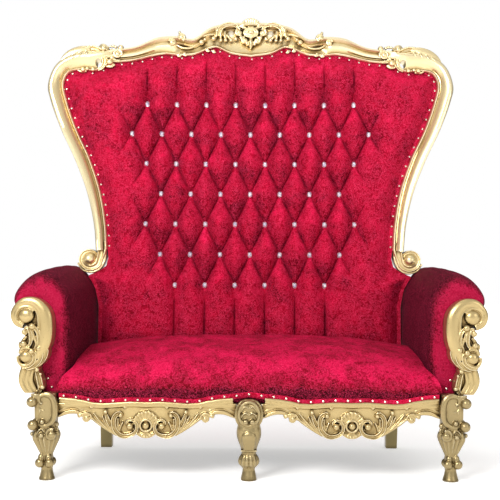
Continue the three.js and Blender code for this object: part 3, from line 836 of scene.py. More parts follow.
        # The oval boss, the shell over it and the drop below.
        c = Carving(on_back, skin, self.carving_rear)
        c.ring(0, 1783, 29, 20, 5, 48, back=0)
        c.ring(0, 1783, 20, 12, 3.5, 52, back=0)
        c.bead(0, 1783, 15, 50, tall=0.62, deep=0.8)
        c.strand(ROUND, 40, 0.6, (-30, 1783, 14), (30, 1783, 14), back=0)
        c.fan(0, 1800, 8, 50, 48, 132, 7, 40)
        c.strand(RIDGED, 44, 1.0, (0, 1758, 8), (0, 1742, 11), (0, 1726, 8), (0, 1712, 1.5), back=10)
        return fused(skin, "back_crest", 90000)

    def shoulder(self) -> Piece:
        """Builds the right shoulder: a leaf over the corner, a pierced hook and a cluster of beads."""
        c = Carving(on_back, back=self.carving_rear)
        c.strand(GROOVED, 34, 0.85, (704, 1698, 16), (672, 1698, 17), (646, 1686, 16), (630, 1664, 14),
                 (628, 1640, 12), (640, 1620, 9), (656, 1610, 6))
        c.strand(ROUND, 38, 0.45, (812, 1642, 5), (790, 1664, 13), (760, 1682, 18), (724, 1694, 18),
                 (690, 1700, 12), back=0)
        # Leaflets that hang from the leaf over the corner: (u, v, reach across, reach up, half width).
        leaflets = (
            (800, 1640, -26, 22, 8), (770, 1648, -20, 26, 10), (738, 1658, -14, 26, 10),
            (708, 1664, -8, 26, 9),
        )
        for u, v, du, dv, r in leaflets:
            c.strand(RIDGED, 44, 0.8, (u, v, r * 0.5), (u + du * 0.5, v + dv * 0.4, r),
                     (u + du, v + dv, r * 0.6), back=10)
        for u, v, r in ((718, 1608, 10), (700, 1612, 8), (676, 1610, 10)):
            c.bead(u, v, r, 38)
        c.strand(ROUND, 34, 0.9, (742, 1606, 3), (726, 1600, 5), (704, 1602, 4), back=0)
        c.strand(RIDGED, 36, 1.0, (650, 1702, 8), (638, 1712, 13), (622, 1704, 11), (618, 1690, 7))
        c.bead(633, 1704, 14, 40)
        c.bead(606, 1644, 15, 38)
        c.bead(598, 1664, 9, 36)
        c.strand(ROUND, 34, 0.9, (620, 1626, 5), (600, 1626, 7), (586, 1636, 6), back=0)
        c.volute(573, 1680, 20, 12, 200, -1.1, (6, 4), 42, 12)
        c.strand(GROOVED, 36, 0.9, (560, 1650, 5), (585, 1652, 7), (602, 1668, 7), (606, 1690, 6),
                 (596, 1704, 4))
        c.bead(560, 1708, 13, 38)
        for u, v, r in ((582, 1712, 7), (594, 1716, 7), (606, 1714, 6)):
            c.bead(u, v, r, 34)
        return fused(c.skin, "back_shoulder_right", 40000)

    def stile_scroll(self) -> Piece:
        """Builds the scroll that ends the right stile, turning outwards over the arm."""
        c = Carving(on_back, back=self.carving_rear)
        u, v = 674, 796
        c.strand(GROOVED, 22, 0.75, (626, 870, 20), (624, 838, 20),
                 *spiral(u, v, 42, 26, 175, 1.15, 15, 7))
        c.strand(ROUND, 22, 1.0, (606, 860, 5), (609, 822, 5), *spiral(u, v, 60, 54, 190, 0.42, 5, 3))
        c.bead(u, v, 26, 22, deep=1.0, rings=14)
        return fused(c.skin, "stile_scroll_right", 24000)

    def built(self) -> None:
        """Builds and dresses the frame's pieces."""
        gold = self.finishes.gold
        dressed(self.border(), gold, "gilded_wood", "back_frame")
        dressed(self.crest(), gold, "gilded_wood", "back_frame")
        for right in (self.shoulder(), self.stile_scroll()):
            dressed_pair(right, gold, "gilded_wood", "back_frame")


# ---- Upholstery --------------------------------------------------------------------------------


Depths = Callable[[np.ndarray, np.ndarray, np.ndarray], np.ndarray]


@dataclass
class BackUpholstery:
    """The buttoned inside back, its crystals and nails, and the plain outside back."""

    finishes: Finishes
    pitch: float = 127.0  # between the buttons of a row
    row_pitch: float = 130.0
    top_row: float = 1466.0
    rows: tuple[int, ...] = (8, 9, 8, 7, 8, 7, 6)  # buttons in each row, from the top
    foot: float = 430.0
    crown: float = 74.0  # how far the pillows stand out
    edge: float = 24.0  # how far the nailed band round them stands out
    band: float = 16.0  # width of the nailed band
    roll: float = 80.0  # how far the padding takes to rise from the band
    foot_roll: float = 110.0  # and from its foot
    sink: float = 46.0  # how deep the creases are
    fade: float = 110.0  # how far the creases run on past the first and last rows
    side_fade: float = 120.0  # how far they run on past a row's end buttons
    dimple: float = 13.0  # how much deeper each button sits
    dimple_size: float = 19.0
    pad_rear: float = -5.0

    def outline(self, foot: float) -> np.ndarray:
        """Returns the right half of the outline, from its foot to the middle of the top."""
        under = [
            (634, foot), (634, 600), (648, 668), (666, 703), (683, 724), (666, 731), (645, 740), (630, 747),
            (606, 767), (598, 800), (600, 826),
        ]
        return np.array([*under, *smooth_path(INNER_EDGE, 8)])

    def both_sides(self, outline: np.ndarray) -> np.ndarray:
        """Returns the whole outline, from foot to foot."""
        return np.array([*outline, *[(-x, z) for x, z in outline[-2::-1]]])

    def half_width(self, z: np.ndarray, outline: np.ndarray) -> np.ndarray:
        """Returns how far the outline reaches at each height, up to the shoulder."""
        widest = int(np.argmax(outline[:, 0]))
        return np.interp(z, outline[:widest + 1, 1], outline[:widest + 1, 0])

    def top_edge(self, x: np.ndarray, outline: np.ndarray) -> np.ndarray:
        """Returns the height of the outline's top over each x."""
        widest = int(np.argmax(outline[:, 0]))
        top = outline[widest:][::-1]
        return np.interp(np.abs(x), top[:, 0], top[:, 1])

    def buttons(self) -> list[tuple[float, float]]:
        """Returns every button's (x, z)."""
        places = []
        for k, count in enumerate(self.rows):
            z = self.top_row - k * self.row_pitch
            places.extend(((i - (count - 1) / 2) * self.pitch, z) for i in range(count))
        return places

    def depth(self, x: np.ndarray, z: np.ndarray, inside: np.ndarray) -> np.ndarray:
        """Returns how far the padded front stands out.

        Args:
            x: Across.
            z: Height.
            inside: Distance from the outline.

        Returns:
            Depths in millimetres.
        """
        row = np.clip((self.top_row - z) / self.row_pitch, 0, len(self.rows) - 1)
        column = x / self.pitch + 0.5
        left = np.abs(np.sin(np.pi * (column + row / 2)))
        right = np.abs(np.sin(np.pi * (column - row / 2)))
        above = smoothstep(0, self.fade, z - self.top_row)
        below = smoothstep(0, self.fade, self.top_row - (len(self.rows) - 1) * self.row_pitch - z)
        pillow = (left * right) ** (0.6 - 0.36 * np.maximum(above, below))
        counts = np.array(self.rows)
        reach = (np.interp(row, range(len(counts)), counts) - 1) / 2 * self.pitch
        fade = np.clip(1 - (np.abs(x) - reach) / self.side_fade, 0, 1)
        tuft = self.sink * (1 - pillow) * fade
        tuft = tuft * (1 - 0.35 * above) * (1 - 0.1 * below)
        rise = np.clip((inside - self.band) / self.roll, 0, 1)
        low = np.clip(0.35 + (z - self.foot) / self.foot_roll, 0, 1)
        swell = np.sin(np.minimum(rise, low) * np.pi / 2)
        nail_band = np.where(inside < self.band, -2.5 * smoothstep(self.band - 7, self.band, inside), 0)
        dimples = np.zeros_like(x)
        for bx, bz in self.buttons():
            dimples += self.dimple * np.exp(-((x - bx) ** 2 + (z - bz) ** 2) / self.dimple_size ** 2)
        # Long and short ripples of the cloth, a millimetre or two high.
        ripple = 1.6 * np.sin(x / 31 + z / 47) * np.sin(z / 39 - x / 83)
        ripple += 0.8 * np.sin(x / 13 + 2) * np.sin(z / 17)
        base = self.edge + nail_band + (self.crown - self.edge) * swell
        return base - tuft * swell - dimples + ripple * swell

    def sheet(self, name: str, foot: float, dx: float, dz: float, front: Depths, rear: Depths) -> Piece:
        """Builds a closed pad over the back's outline from its two faces.

        Args:
            name: The piece's name.
            foot: The height of its lower edge.
            dx: Grid spacing across.
            dz: Grid spacing up.
            front: Gives the front's depth from (x, z, distance inside).
            rear: Gives the rear's depth.

        Returns:
            The closed pad.
        """
        outline = self.outline(foot)
        reach = math.ceil(800 / dx)
        low = self.top_row - math.ceil((self.top_row - foot) / dz) * dz
        xs, zs = np.arange(-reach, reach + 1) * dx, np.arange(low, 1725, dz)
        x, z = np.meshgrid(xs, np.maximum(zs, foot))
        x = np.clip(x, -self.half_width(z, outline), self.half_width(z, outline))
        z = np.minimum(z, self.top_edge(x, outline))
        inside = distance_to(self.both_sides(outline), x, z)
        rows, columns = x.shape
        total = rows * columns
        number = np.arange(total).reshape(rows, columns)
        cells = [
            (number[j, i], number[j, i + 1], number[j + 1, i + 1], number[j + 1, i])
            for j in range(rows - 1) for i in range(columns - 1)
        ]
        front_depth, rear_depth = front(x, z, inside), rear(x, z, inside)
        flat = front_depth.ravel()
        folded = []
        for a, b, c, d in cells:
            # Each cell is split along its lower diagonal, which keeps the creases sharp.
            if flat[a] + flat[c] < flat[b] + flat[d]:
                folded.extend([(a, b, c), (a, c, d)])
            else:
                folded.extend([(b, c, d), (b, d, a)])
        skin = Skin()
        for depth, faces in ((front_depth, folded), (rear_depth, [cell[::-1] for cell in cells])):
            skin.add(zip(x.ravel(), (back_y(x, z) - depth).ravel(), z.ravel()), faces)
        rim = [*number[0], *number[1:, -1], *number[-1, -2::-1], *number[-2:0:-1, 0]]
        skin.faces.extend((a, a + total, b + total, b) for a, b in zip(rim, rim[1:] + rim[:1]))
        return skin.built(name)

    def inside_back(self) -> Piece:
        """Builds the diamond-buttoned pad, whose creases follow the cells' diagonals."""
        def rear(x: np.ndarray, z: np.ndarray, inside: np.ndarray) -> np.ndarray:
            """Returns the flat rear face's depth."""
            return np.full_like(x, self.pad_rear)

        pad = self.sheet("inside_back_velvet", self.foot, self.pitch / 32, self.row_pitch / 16,
                         self.depth, rear)
        modified(pad, "DECIMATE", ratio=0.62)
        softened(pad, 80)
        return pad

    def outside_back(self) -> Piece:
        """Builds the plain velvet panel behind, slightly padded."""
        def front(x: np.ndarray, z: np.ndarray, inside: np.ndarray) -> np.ndarray:
            """Returns the flat front face's depth, just behind the inside back."""
            return np.full_like(x, self.pad_rear - 0.5)

        def rear(x: np.ndarray, z: np.ndarray, inside: np.ndarray) -> np.ndarray:
            """Returns the rear face's depth, swelling from its edge."""
            swell = 9 * np.sin(np.clip(inside / 60, 0, 1) * np.pi / 2)
            return -30 - swell - 0.6 * np.sin(x / 90) * np.sin(z / 110)

        panel = self.sheet("outside_back_velvet", 273, 20, 20, front, rear)
        softened(panel, 60)
        return panel

    def crystals(self) -> Piece:
        """Builds the faceted crystal buttons, one in each dimple."""
        skin = Skin()
        outline = self.both_sides(self.outline(self.foot))
        # Rings of eight corners: (radius, height, turn in corners).
        facets = ((11.0, -2.0, 0.0), (12.5, 1.5, 0.0), (9.6, 5.0, 0.5), (5.4, 7.6, 0.0))
        for x, z in self.buttons():
            px, pz = np.array([x]), np.array([z])
            seat = float(self.depth(px, pz, distance_to(outline, px, pz))[0]) + 7
            rings = []
            for radius, out, turn in facets:
                corners = [(k + turn) * math.pi / 4 for k in range(8)]
                rings.append([
                    on_back(x + radius * math.cos(t), z + radius * math.sin(t), seat + out) for t in corners
                ])
            skin.loft(rings)
        return skin.built("crystal_buttons")

    def nails(self) -> Piece:
        """Builds the nail heads along the frame's inner edge."""
        path = smooth_path(INNER_EDGE, 12)
        run = np.concatenate([[0], np.cumsum(np.linalg.norm(np.diff(path, axis=0), axis=1))])
        first, step, inset = 14, 44.0, 8.0
        skin = Skin()
        for side in (-1, 1):
            # The middle of the top has one nail, which belongs to the right side.
            last = run[-1] - 12 if side < 0 else run[-1]
            for s in np.arange(first, last, step):
                x, ax = np.interp([s, s + 4], run, path[:, 0])
                z, az = np.interp([s, s + 4], run, path[:, 1])
                nx, nz = z - az, ax - x
                size = max(math.hypot(nx, nz), 1e-6)
                u, v = x + nx / size * inset, z + nz / size * inset
                place = on_side(side)
                nail_head(skin, lambda a, b, d: place(u + a, v + b, self.edge + d))
        return skin.built("back_nail_heads")

    def built(self) -> None:
        """Builds and dresses the back's upholstery."""
        dressed(self.inside_back(), self.finishes.velvet, "velvet", "inside_back", pad=0.8)
        dressed(self.outside_back(), self.finishes.velvet, "velvet", "outside_back", pad=0.9)
        dressed(self.crystals(), self.finishes.crystal, "velvet")
        dressed(self.nails(), self.finishes.stud, "velvet")


def nail_head(skin: Skin, place: Placing, r: float = 4.6) -> None:
    """Adds a domed nail head to a skin, placed by (across, up, out)."""
    dome = ((r, -1.5), (r, 0.6), (r * 0.8, 2.2), (r * 0.4, 3.2))
    skin.loft([
        [place(radius * math.cos(t), radius * math.sin(t), out) for t in turns(10)] for radius, out in dome
    ])


RAIL_CENTRE = 362.0
LIP = (
    (0, 273), (55, 275), (101, 272), (147, 269), (184, 271), (220, 279), (257, 285), (306, 289), (362, 295),
)


def lip_height(x: float) -> float:
    """Returns the height of the rails' scalloped top edge, which the seat's nailed band follows."""
    knots = np.array(LIP, dtype=float)
    return float(np.interp(abs(abs(x) - RAIL_CENTRE), knots[:, 0], knots[:, 1]))


@dataclass
class SeatAndArms:
    """The crowned seat with its nailed gimp, and the rolled arms."""

    finishes: Finishes
    seat_half: float = 635.0
    seat_crown: float = 42.0
    nose_spread: float = 44.0  # how far the seat's nose widens in front of the arms
    foot_spread: float = 34.0  # how far it widens lower down, beside the legs
    leg_top: float = 308.0
    gimp_half: float = 668.0
    nail_radius: float = 4.4
    # The seat's section at its sides, from the rear foot over the top to the nose:
    # (y, z, share of the crown).
    seat_section: tuple[Point, ...] = (
        (575, 272.4, 0), (575, 440, 0.8), (455, 446, 1), (304, 432, 1), (200, 418, 1), (120, 403, 0.9),
        (50, 382, 0.7), (6, 352, 0.45), (-13, 318, 0.2), (-11, 294, 0.0), (-9, 280, 0), (-2, 272.4, 0),
    )
    gimp_section: tuple[tuple[float, float], ...] = (
        (-15.0, -4), (-17.2, -2), (-18.4, 6), (-17.6, 14), (-15.0, 17), (-9, 15), (-8, -3),
    )
    arm_section: tuple[tuple[float, float], ...] = (
        (648, 272.4), (643, 400), (640, 520), (643, 600), (655, 668), (682, 718), (714, 754), (748, 766),
        (788, 752), (824, 722), (849, 678), (849, 636), (824, 600), (782, 570), (772, 450), (764, 340),
        (758, 272.4),
    )
    # (y, how much the section closes in, how far the top is lowered): the front end is rounded over.
    arm_stations: tuple[Point, ...] = (
        (30, 34, 96), (33, 25, 82), (42, 14, 66), (58, 6, 52), (84, 2, 40), (120, 0, 31), (180, 0, 22),
        (260, 0, 15), (360, 0, 9), (520, 0, 2), (640, 0, 0), (690, 1, 1), (696, 4, 3),
    )
    arm_spine: float = 735.0

    def seat(self) -> Piece:
        """Builds the seat, crowned and drawn down at its sides."""
        rear, top = smooth_path(self.seat_section[:2], 8), smooth_path(self.seat_section[1:], 7)
        section = np.vstack([rear[:-1], top])
        rings = []
        for t in np.linspace(-1, 1, 97):
            across = math.sin(t * math.pi / 2)
            fall = 1 - abs(across) ** 3
            ring = []
            for y, z, share in section:
                spread = self.nose_spread * float(smoothstep(92, 6, y) * smoothstep(440, 312, z))
                spread = min(spread, self.nose_spread if z > self.leg_top else self.foot_spread)
                x = across * (self.seat_half + spread)
                wave = 2.0 * math.sin(x / 63 + y / 90) * math.sin(y / 57 - x / 140)
                wave = share * (wave + math.sin(x / 23) * math.sin(y / 19))
                ring.append((x, y, z + (self.seat_crown * fall + wave * min(1, fall * 3)) * share))
            rings.append(ring)
        left, right = (self.seat_end(side, ring) for side, ring in ((-1, rings[0]), (1, rings[-1])))
        return lofted("seat_velvet", [left, *rings, right])

    def seat_end(self, side: int, ring: Sequence[Point]) -> list[Point]:
        """Returns the smaller ring that rounds off the seat's left (-1) or right (1) end."""
        _, my, mz = np.mean(np.array(ring), axis=0)
        x = side * (self.seat_half + 1)
        return [(x, my + (y - my) * 0.94, mz + (z - mz) * 0.92) for _, y, z in ring]

    def gimp(self) -> Piece:
        """Builds the flat velvet band that covers the seat's lower edge in front."""
        rings = []
        for x in np.linspace(-self.gimp_half, self.gimp_half, 201):
            low = lip_height(x)
            rings.append([(x, y, low + z) for y, z in self.gimp_section])
        return lofted("seat_gimp", rings)

    def arm(self) -> Piece:
        """Builds the right arm, a full roll with its front rounded over."""
        section = smooth_path(self.arm_section, 6)
        rings = []
        for y, inset, drop in smooth_path(self.arm_stations, 6):
            ring = []
            for x, z in section:
                closed = x + (self.arm_spine - x) * max(inset, 0) / 100
                share = float(np.clip((z - 540) / 220, 0, 1)) ** 1.2
                wave = 1.2 * math.sin(y / 43 + z / 37) * math.sin(x / 29 + y / 71)
                wave *= float(smoothstep(30, 90, y))
                ring.append((closed + wave, y, z - drop * share + wave * share))
            rings.append(ring)
        return lofted("arm_velvet_right", rings)

    def nails(self) -> Piece:
        """Builds the nail heads along the gimp and up the front of each arm."""
        skin = Skin()
        for x in np.arange(-651, 652, 43.4):
            nail_head(skin, lambda a, b, d: (x + a, -18.2 - d, lip_height(x) + 9 + b), self.nail_radius)
        for side in (-1, 1):
            for x, z in ((682, 297), (702, 322), (716, 352)):
                nail_head(skin, lambda a, b, d: ((x + a) * side, 28 - d, z + b), self.nail_radius)
        return skin.built("seat_nail_heads")

    def built(self) -> None:
        """Builds and dresses the seat and the arms."""
        dressed(self.seat(), self.finishes.seat_velvet, "velvet", "seat", pad=0.8)
        dressed(self.gimp(), self.finishes.velvet, "velvet", "seat")
        dressed(self.nails(), self.finishes.stud, "velvet")
        # The arms take the darker velvet, which is painted shade.
        dressed_pair(self.arm(), self.finishes.shaded_arm_velvet, "velvet", "arm_right", pad=0.9)


# ---- Arm facings -------------------------------------------------------------------------------


@dataclass
class ArmFacing:
    """The carved facing on each arm's front: a hooked scroll over a volute and a fluted stem."""

    finishes: Finishes
    rear: float = -29.2
    face: float = 24.0

    def placed(self, u: float, v: float, d: float) -> Point:
        """Places a carved point: the hook stands out past the stem, a little below its drawn line."""
        return (u + 8 * float(smoothstep(450, 560, v)), -d, v - 5 * float(smoothstep(560, 640, v)))

    def carved(self) -> Piece:
        """Builds the right facing."""
        c = Carving(self.placed, back=self.rear)
        face = self.face
        c.strand(LIPPED, face, 0.5, (748, 430, 20), (719, 486, 26), (708, 545, 27), (716, 594, 25),
                 (743, 624, 20), (778, 629, 17), (804, 611, 14), (817, 582, 12), (808, 553, 11),
                 (784, 540, 10), steps=12)
        # Solid wood behind the eye, the leaves and the volute.
        c.strand(ROUND, 15, 0.1, (766, 618, 22), (770, 582, 42), (766, 546, 26))
        c.strand(ROUND, 15, 0.1, (756, 556, 18), (754, 510, 30), (758, 474, 32), (768, 438, 40),
                 (773, 404, 33), (770, 380, 24))
        c.strand(ROUND, face + 2, 0.9, *spiral(774, 579, 37, 33, -75, 0.62, 8, 6), steps=6)
        c.bead(773, 578, 28, face + 1, deep=0.6, rings=14)
        # Upright leaves under the hook.
        c.strand(GROOVED, face + 6, 0.9, (751, 541, 9), (738, 528, 7), (732, 505, 7), (736, 474, 5))
        c.bead(752, 540, 12, face + 8, deep=0.9)
        c.strand(GROOVED, face + 4, 0.9, (780, 534, 4), (768, 536, 6), (761, 520, 7), (760, 500, 7),
                 (765, 480, 6), (776, 466, 4))
        c.strand(RIDGED, face + 4, 0.9, (751, 526, 4), (748, 500, 6), (744, 474, 4))
        c.volute(783, 521, 12, 7, 90, 0.8, (4, 3), face, 8)
        c.strand(ROUND, face - 6, 0.8, (776, 505, 5), (786, 494, 7), (796, 482, 6))
        c.bead(788, 479, 12, face + 4)
        c.strand(ROUND, face, 0.9, (801, 484, 4), (803, 470, 5), (794, 460, 5), (778, 458, 4))
        # The volute and the crescents that fold round it.
        c.strand(ROUND, face + 4, 0.9, (803, 443, 6), (797, 459, 7), (781, 465, 7), (763, 455, 6),
                 (757, 437, 6), (763, 417, 6), (780, 404, 7), (796, 405, 7), (808, 420, 6), (810, 437, 5))
        c.bead(781, 434, 22, face + 3, deep=0.75, rings=12)
        c.strand(GROOVED, face + 6, 0.9, (762, 452, 9), (751, 440, 8), (754, 417, 7), (772, 401, 7),
                 (796, 396, 5))
        c.bead(761, 453, 11, face + 10, deep=0.9)
        c.strand(GROOVED, face + 3, 0.9, (735, 461, 8), (727, 443, 8), (734, 419, 8), (754, 399, 7),
                 (780, 390, 5))
        c.bead(736, 462, 10, face + 7, deep=0.9)
        c.strand(GROOVED, face, 0.9, (716, 472, 7), (709, 456, 7), (715, 430, 7), (731, 410, 6),
                 (750, 394, 5))
        c.bead(716, 472, 9, face + 4, deep=0.9)
        # The stem, with a leaf along its inner edge.
        for du, half in ((-17, 8), (-1, 9.5), (17, 11)):
            c.strand(ROUND, face - 6, 0.8, (750 + du * 0.7, 296, half * 0.8), (768 + du, 318, half * 0.9),
                     (781 + du, 348, half), (778 + du, 378, half), (766 + du, 404, half))
        c.strand(ROUND, face - 14, 0.3, (744, 292, 18), (762, 320, 25), (772, 350, 28), (768, 376, 30),
                 (762, 404, 28))
        c.strand(GROOVED, face - 4, 0.9, (742, 304, 5), (731, 322, 9), (734, 350, 11), (743, 380, 8),
                 (750, 396, 5))
        c.bead(742, 388, 9, face + 4)
        c.bead(724, 326, 9, face)
        c.bead(731, 372, 6, face + 2)
        facing = fused(c.skin, "arm_facing_carving_right", 56000)
        self.trimmed(facing)
        return facing

    def trimmed(self, facing: Piece, foot: float = 306.4) -> None:
        """Cuts the facing flat where it stands on the leg and closes the cut."""
        work = bmesh.new()
        work.from_mesh(facing.data)
        cut = bmesh.ops.bisect_plane(work, geom=[*work.verts, *work.edges, *work.faces],
                                     plane_co=(0, 0, foot * MM), plane_no=(0, 0, 1), clear_inner=True)
        edges = [e for e in cut["geom_cut"] if isinstance(e, bmesh.types.BMEdge)]
        bmesh.ops.holes_fill(work, edges=edges)
        work.to_mesh(facing.data)
        work.free()

    def built(self) -> None:
        """Builds and dresses both facings."""
        dressed_pair(self.carved(), self.finishes.facing_and_rail_gold, "gilded_wood", "arm_facing_right")


# ---- Legs ----------------------------------------------------------------------------------------


@dataclass
class FrontLegs:
    """The three carved front legs: two on the corners and a plainer one in the middle."""

    finishes: Finishes
    leg_x: float = 712.0
    # Stations of each leg's body: (z, half width, squareness, share of its flutes).
    corner_body: tuple[tuple[float, ...], ...] = (
        (0, 28, 2, 0), (4, 28, 2, 0), (12, 25.5, 2, 0), (38, 20, 2, 0), (46, 21, 2, 0), (62, 21, 2, 0),
        (80, 20, 2, 0), (92, 22, 2.1, 0.4), (108, 29, 2.2, 1), (126, 37, 2.4, 1), (144, 44, 2.6, 1),
        (158, 46, 2.7, 0.8), (168, 43, 2.8, 0.3), (178, 37, 3.4, 0), (200, 36, 4, 0), (240, 36, 4, 0),
        (290, 37, 4, 0), (302, 37, 4, 0), (306, 35, 4, 0),
    )
    middle_body: tuple[tuple[float, ...], ...] = (
        (0, 28, 2, 0), (4, 28, 2, 0), (14, 26.5, 2, 0), (42, 22, 2, 0), (48, 27, 2.1, 1), (58, 36, 2.1, 1),
        (70, 38, 2.1, 1), (84, 33, 2.1, 0.9), (96, 26, 2.1, 0.3), (104, 27, 2.2, 0), (120, 30, 2.3, 0),
        (142, 38, 2.5, 0), (162, 43, 2.6, 0), (182, 43, 2.8, 0), (196, 40, 3.2, 0), (240, 38, 3.6, 0),
        (271.6, 38, 3.6, 0),
    )

    def body(self, skin: Skin, rows: Sequence[Sequence[float]], centre: float, lobes: int, deep: float,
             knee: float = 0.0) -> None:
        """Adds a leg's turned and squared body to a skin.

        Args:
            skin: The skin to add to.
            rows: The body's stations.
            centre: The x of its axis.
            lobes: Flutes round it.
            deep: Depth of the flutes, as a share.
            knee: How far the body stands forward over its ankle.
        """
        rings = []
        for z, half, square, flute in smooth_path(rows, 5):
            forward = knee * float(smoothstep(60, 170, z))
            ring = []
            for t in turns(72):
                c, s = math.cos(t), math.sin(t)
                radius = half / (abs(c) ** square + abs(s) ** square) ** (1 / square)
                lobe = abs(math.cos(t * lobes / 2)) ** 0.7
                radius *= 1 - deep * max(flute, 0) * (1 - lobe)
                ring.append((centre + radius * c, radius * s - forward, z))
            rings.append(ring)
        skin.loft(rings)

    def corner_face(self, c: Carving) -> None:
        """Carves one front face of a corner leg's knee and calf: u runs towards the outer ridge."""
        c.strand(LIPPED, 37, 0.75, (14, 300, 7), (-6, 302, 9), (-24, 292, 10), (-33, 266, 10),
                 (-34, 238, 10), (-28, 214, 9), (-14, 198, 9), (4, 192, 8), (18, 198, 6), (20, 208, 4))
        c.bead(9, 207, 10, 39)
        c.strand(ROUND, 38, 0.9, (14, 300, 6), (22, 290, 7), (18, 276, 5), (10, 270, 4))
        c.strand(RIDGED, 37, 0.9, (26, 296, 4), (30, 280, 5), (24, 264, 3))
        c.strand(RIDGED, 33, 0.8, (26, 262, 3), (18, 248, 9), (22, 232, 5), (26, 224, 2))
        c.strand(RIDGED, 34, 0.9, (30, 250, 2), (10, 246, 5), (-4, 246, 1.5))
        # The spiral knob over the calf, with a bead and a pair of short leaves.
        c.volute(-24, 164, 20, 11, 110, -0.9, (5.5, 4), 44, 13)
        c.bead(10, 161, 9, 49)
        c.strand(RIDGED, 40, 0.9, (-8, 184, 4), (0, 172, 6), (8, 182, 4))
        c.strand(RIDGED, 36, 0.9, (8, 184, 4, 36), (20, 178, 7, 37), (30, 158, 7, 36), (28, 132, 5, 32),
                 (20, 108, 3, 26), back=8)
        c.strand(RIDGED, 40, 0.9, (-2, 176, 4, 40), (2, 150, 5, 43), (0, 120, 4, 33), back=8)

    def corner(self) -> Piece:
        """Builds the right corner leg, its ridge pointing out between its two carved faces."""
        skin = Skin()
        x = self.leg_x
        self.body(skin, self.corner_body, x, 16, 0.16)
        for place in (lambda u, v, d: (x + u, -d, v), lambda u, v, d: (x + d, -u, v)):
            self.corner_face(Carving(place, skin, 10))
        slant = 0.7071  # the sine and cosine of 45 degrees
        ridge = Carving(lambda u, v, d: (x + (d + u) * slant, -(d - u) * slant, v), skin)
        ridge.bead(0, 277, 19, 62)
        ridge.bead(0, 196, 19, 58)
        ridge.strand(ROUND, 50, 0.8, (0, 305, 17, 50), (0, 292, 14, 50), (0, 280, 12, 48))
        ridge.strand(ROUND, 40, 0.8, (0, 306, 13), (0, 262, 12), (0, 222, 11), (0, 184, 9))
        ridge.strand(ROUND, 48, 0.8, (0, 178, 8, 44), (0, 152, 11, 49), (0, 120, 8, 36), (0, 94, 5, 23))
        # Curls on the hidden faces, and the balls and leaves over the foot.
        for place in (lambda u, v, d: (x - d, -u, v), lambda u, v, d: (x + u, d, v)):
            plain = Carving(place, skin, 10)
            plain.volute(20, 166, 15, 9, 70, 0.9, (5, 3.5), 40, 11)
            plain.bead(20, 196, 10, 36)
        for quarter in range(4):
            c, s = (f(math.radians(45 + 90 * quarter)) for f in (math.cos, math.sin))
            ball = Carving(lambda u, v, d: (x + 4 + c * d - s * u, -3 + s * d + c * u, v), skin)
            ball.bead(0, 61, 17, 24)
            ball.strand(ROUND, 18, 1.0, (0, 92, 6), (0, 84, 11), (0, 72, 12))
            ball.strand(ROUND, 16, 0.8, (0, 52, 9), (0, 44, 7))
        return fused(skin, "front_leg_carving_right", 56000)

    def middle(self) -> Piece:
        """Builds the middle leg: facing scrolls over a drop and a lobed bulb."""
        skin = Skin()
        self.body(skin, self.middle_body, 0, 14, 0.14, knee=20)
        for side in (-1, 1):
            c = Carving(lambda u, v, d: (u * side, -d, v), skin, 20)
            c.bead(12, 212, 11, 59)
            c.strand(RIDGED, 56, 1.0, (2, 276, 3), (11, 280, 5), (21, 275, 6), (29, 260, 4))
            c.strand(RIDGED, 57, 1.0, (1, 258, 4), (11, 266, 6), (21, 260, 6), (27, 246, 3))
            c.strand(RIDGED, 57, 1.0, (1, 236, 4), (11, 243, 6), (21, 238, 5), (27, 226, 3))
        c = Carving(lambda u, v, d: (u, -d, v), skin, 20)
        c.strand(ROUND, 44, 0.1, (0, 289, 14), (0, 282, 30), (0, 266, 43), (0, 242, 49), (0, 216, 47),
                 (0, 200, 38), (0, 190, 28), back=14)
        c.ring(0, 240, 35, 41, 6, 57, rise=1.2)
        c.strand(ROUND, 43, 0.38, (0, 180, 9, 62), (0, 170, 21, 62), (0, 154, 25, 59.5), (0, 132, 22, 49),
                 (0, 112, 19, 38), back=10)
        c.strand(ROUND, 36, 1.0, (-28, 109, 3), (0, 108, 3.5), (28, 109, 3), back=10)
        return fused(skin, "front_leg_carving_middle", 50000)

    def built(self) -> None:
        """Builds and dresses the front legs."""
        gold = self.finishes.leg_gold
        dressed_pair(self.corner(), gold, "gilded_wood", "front_leg_right")
        dressed(self.middle(), gold, "gilded_wood", "front_leg_middle")


# ---- Rails ---------------------------------------------------------------------------------------


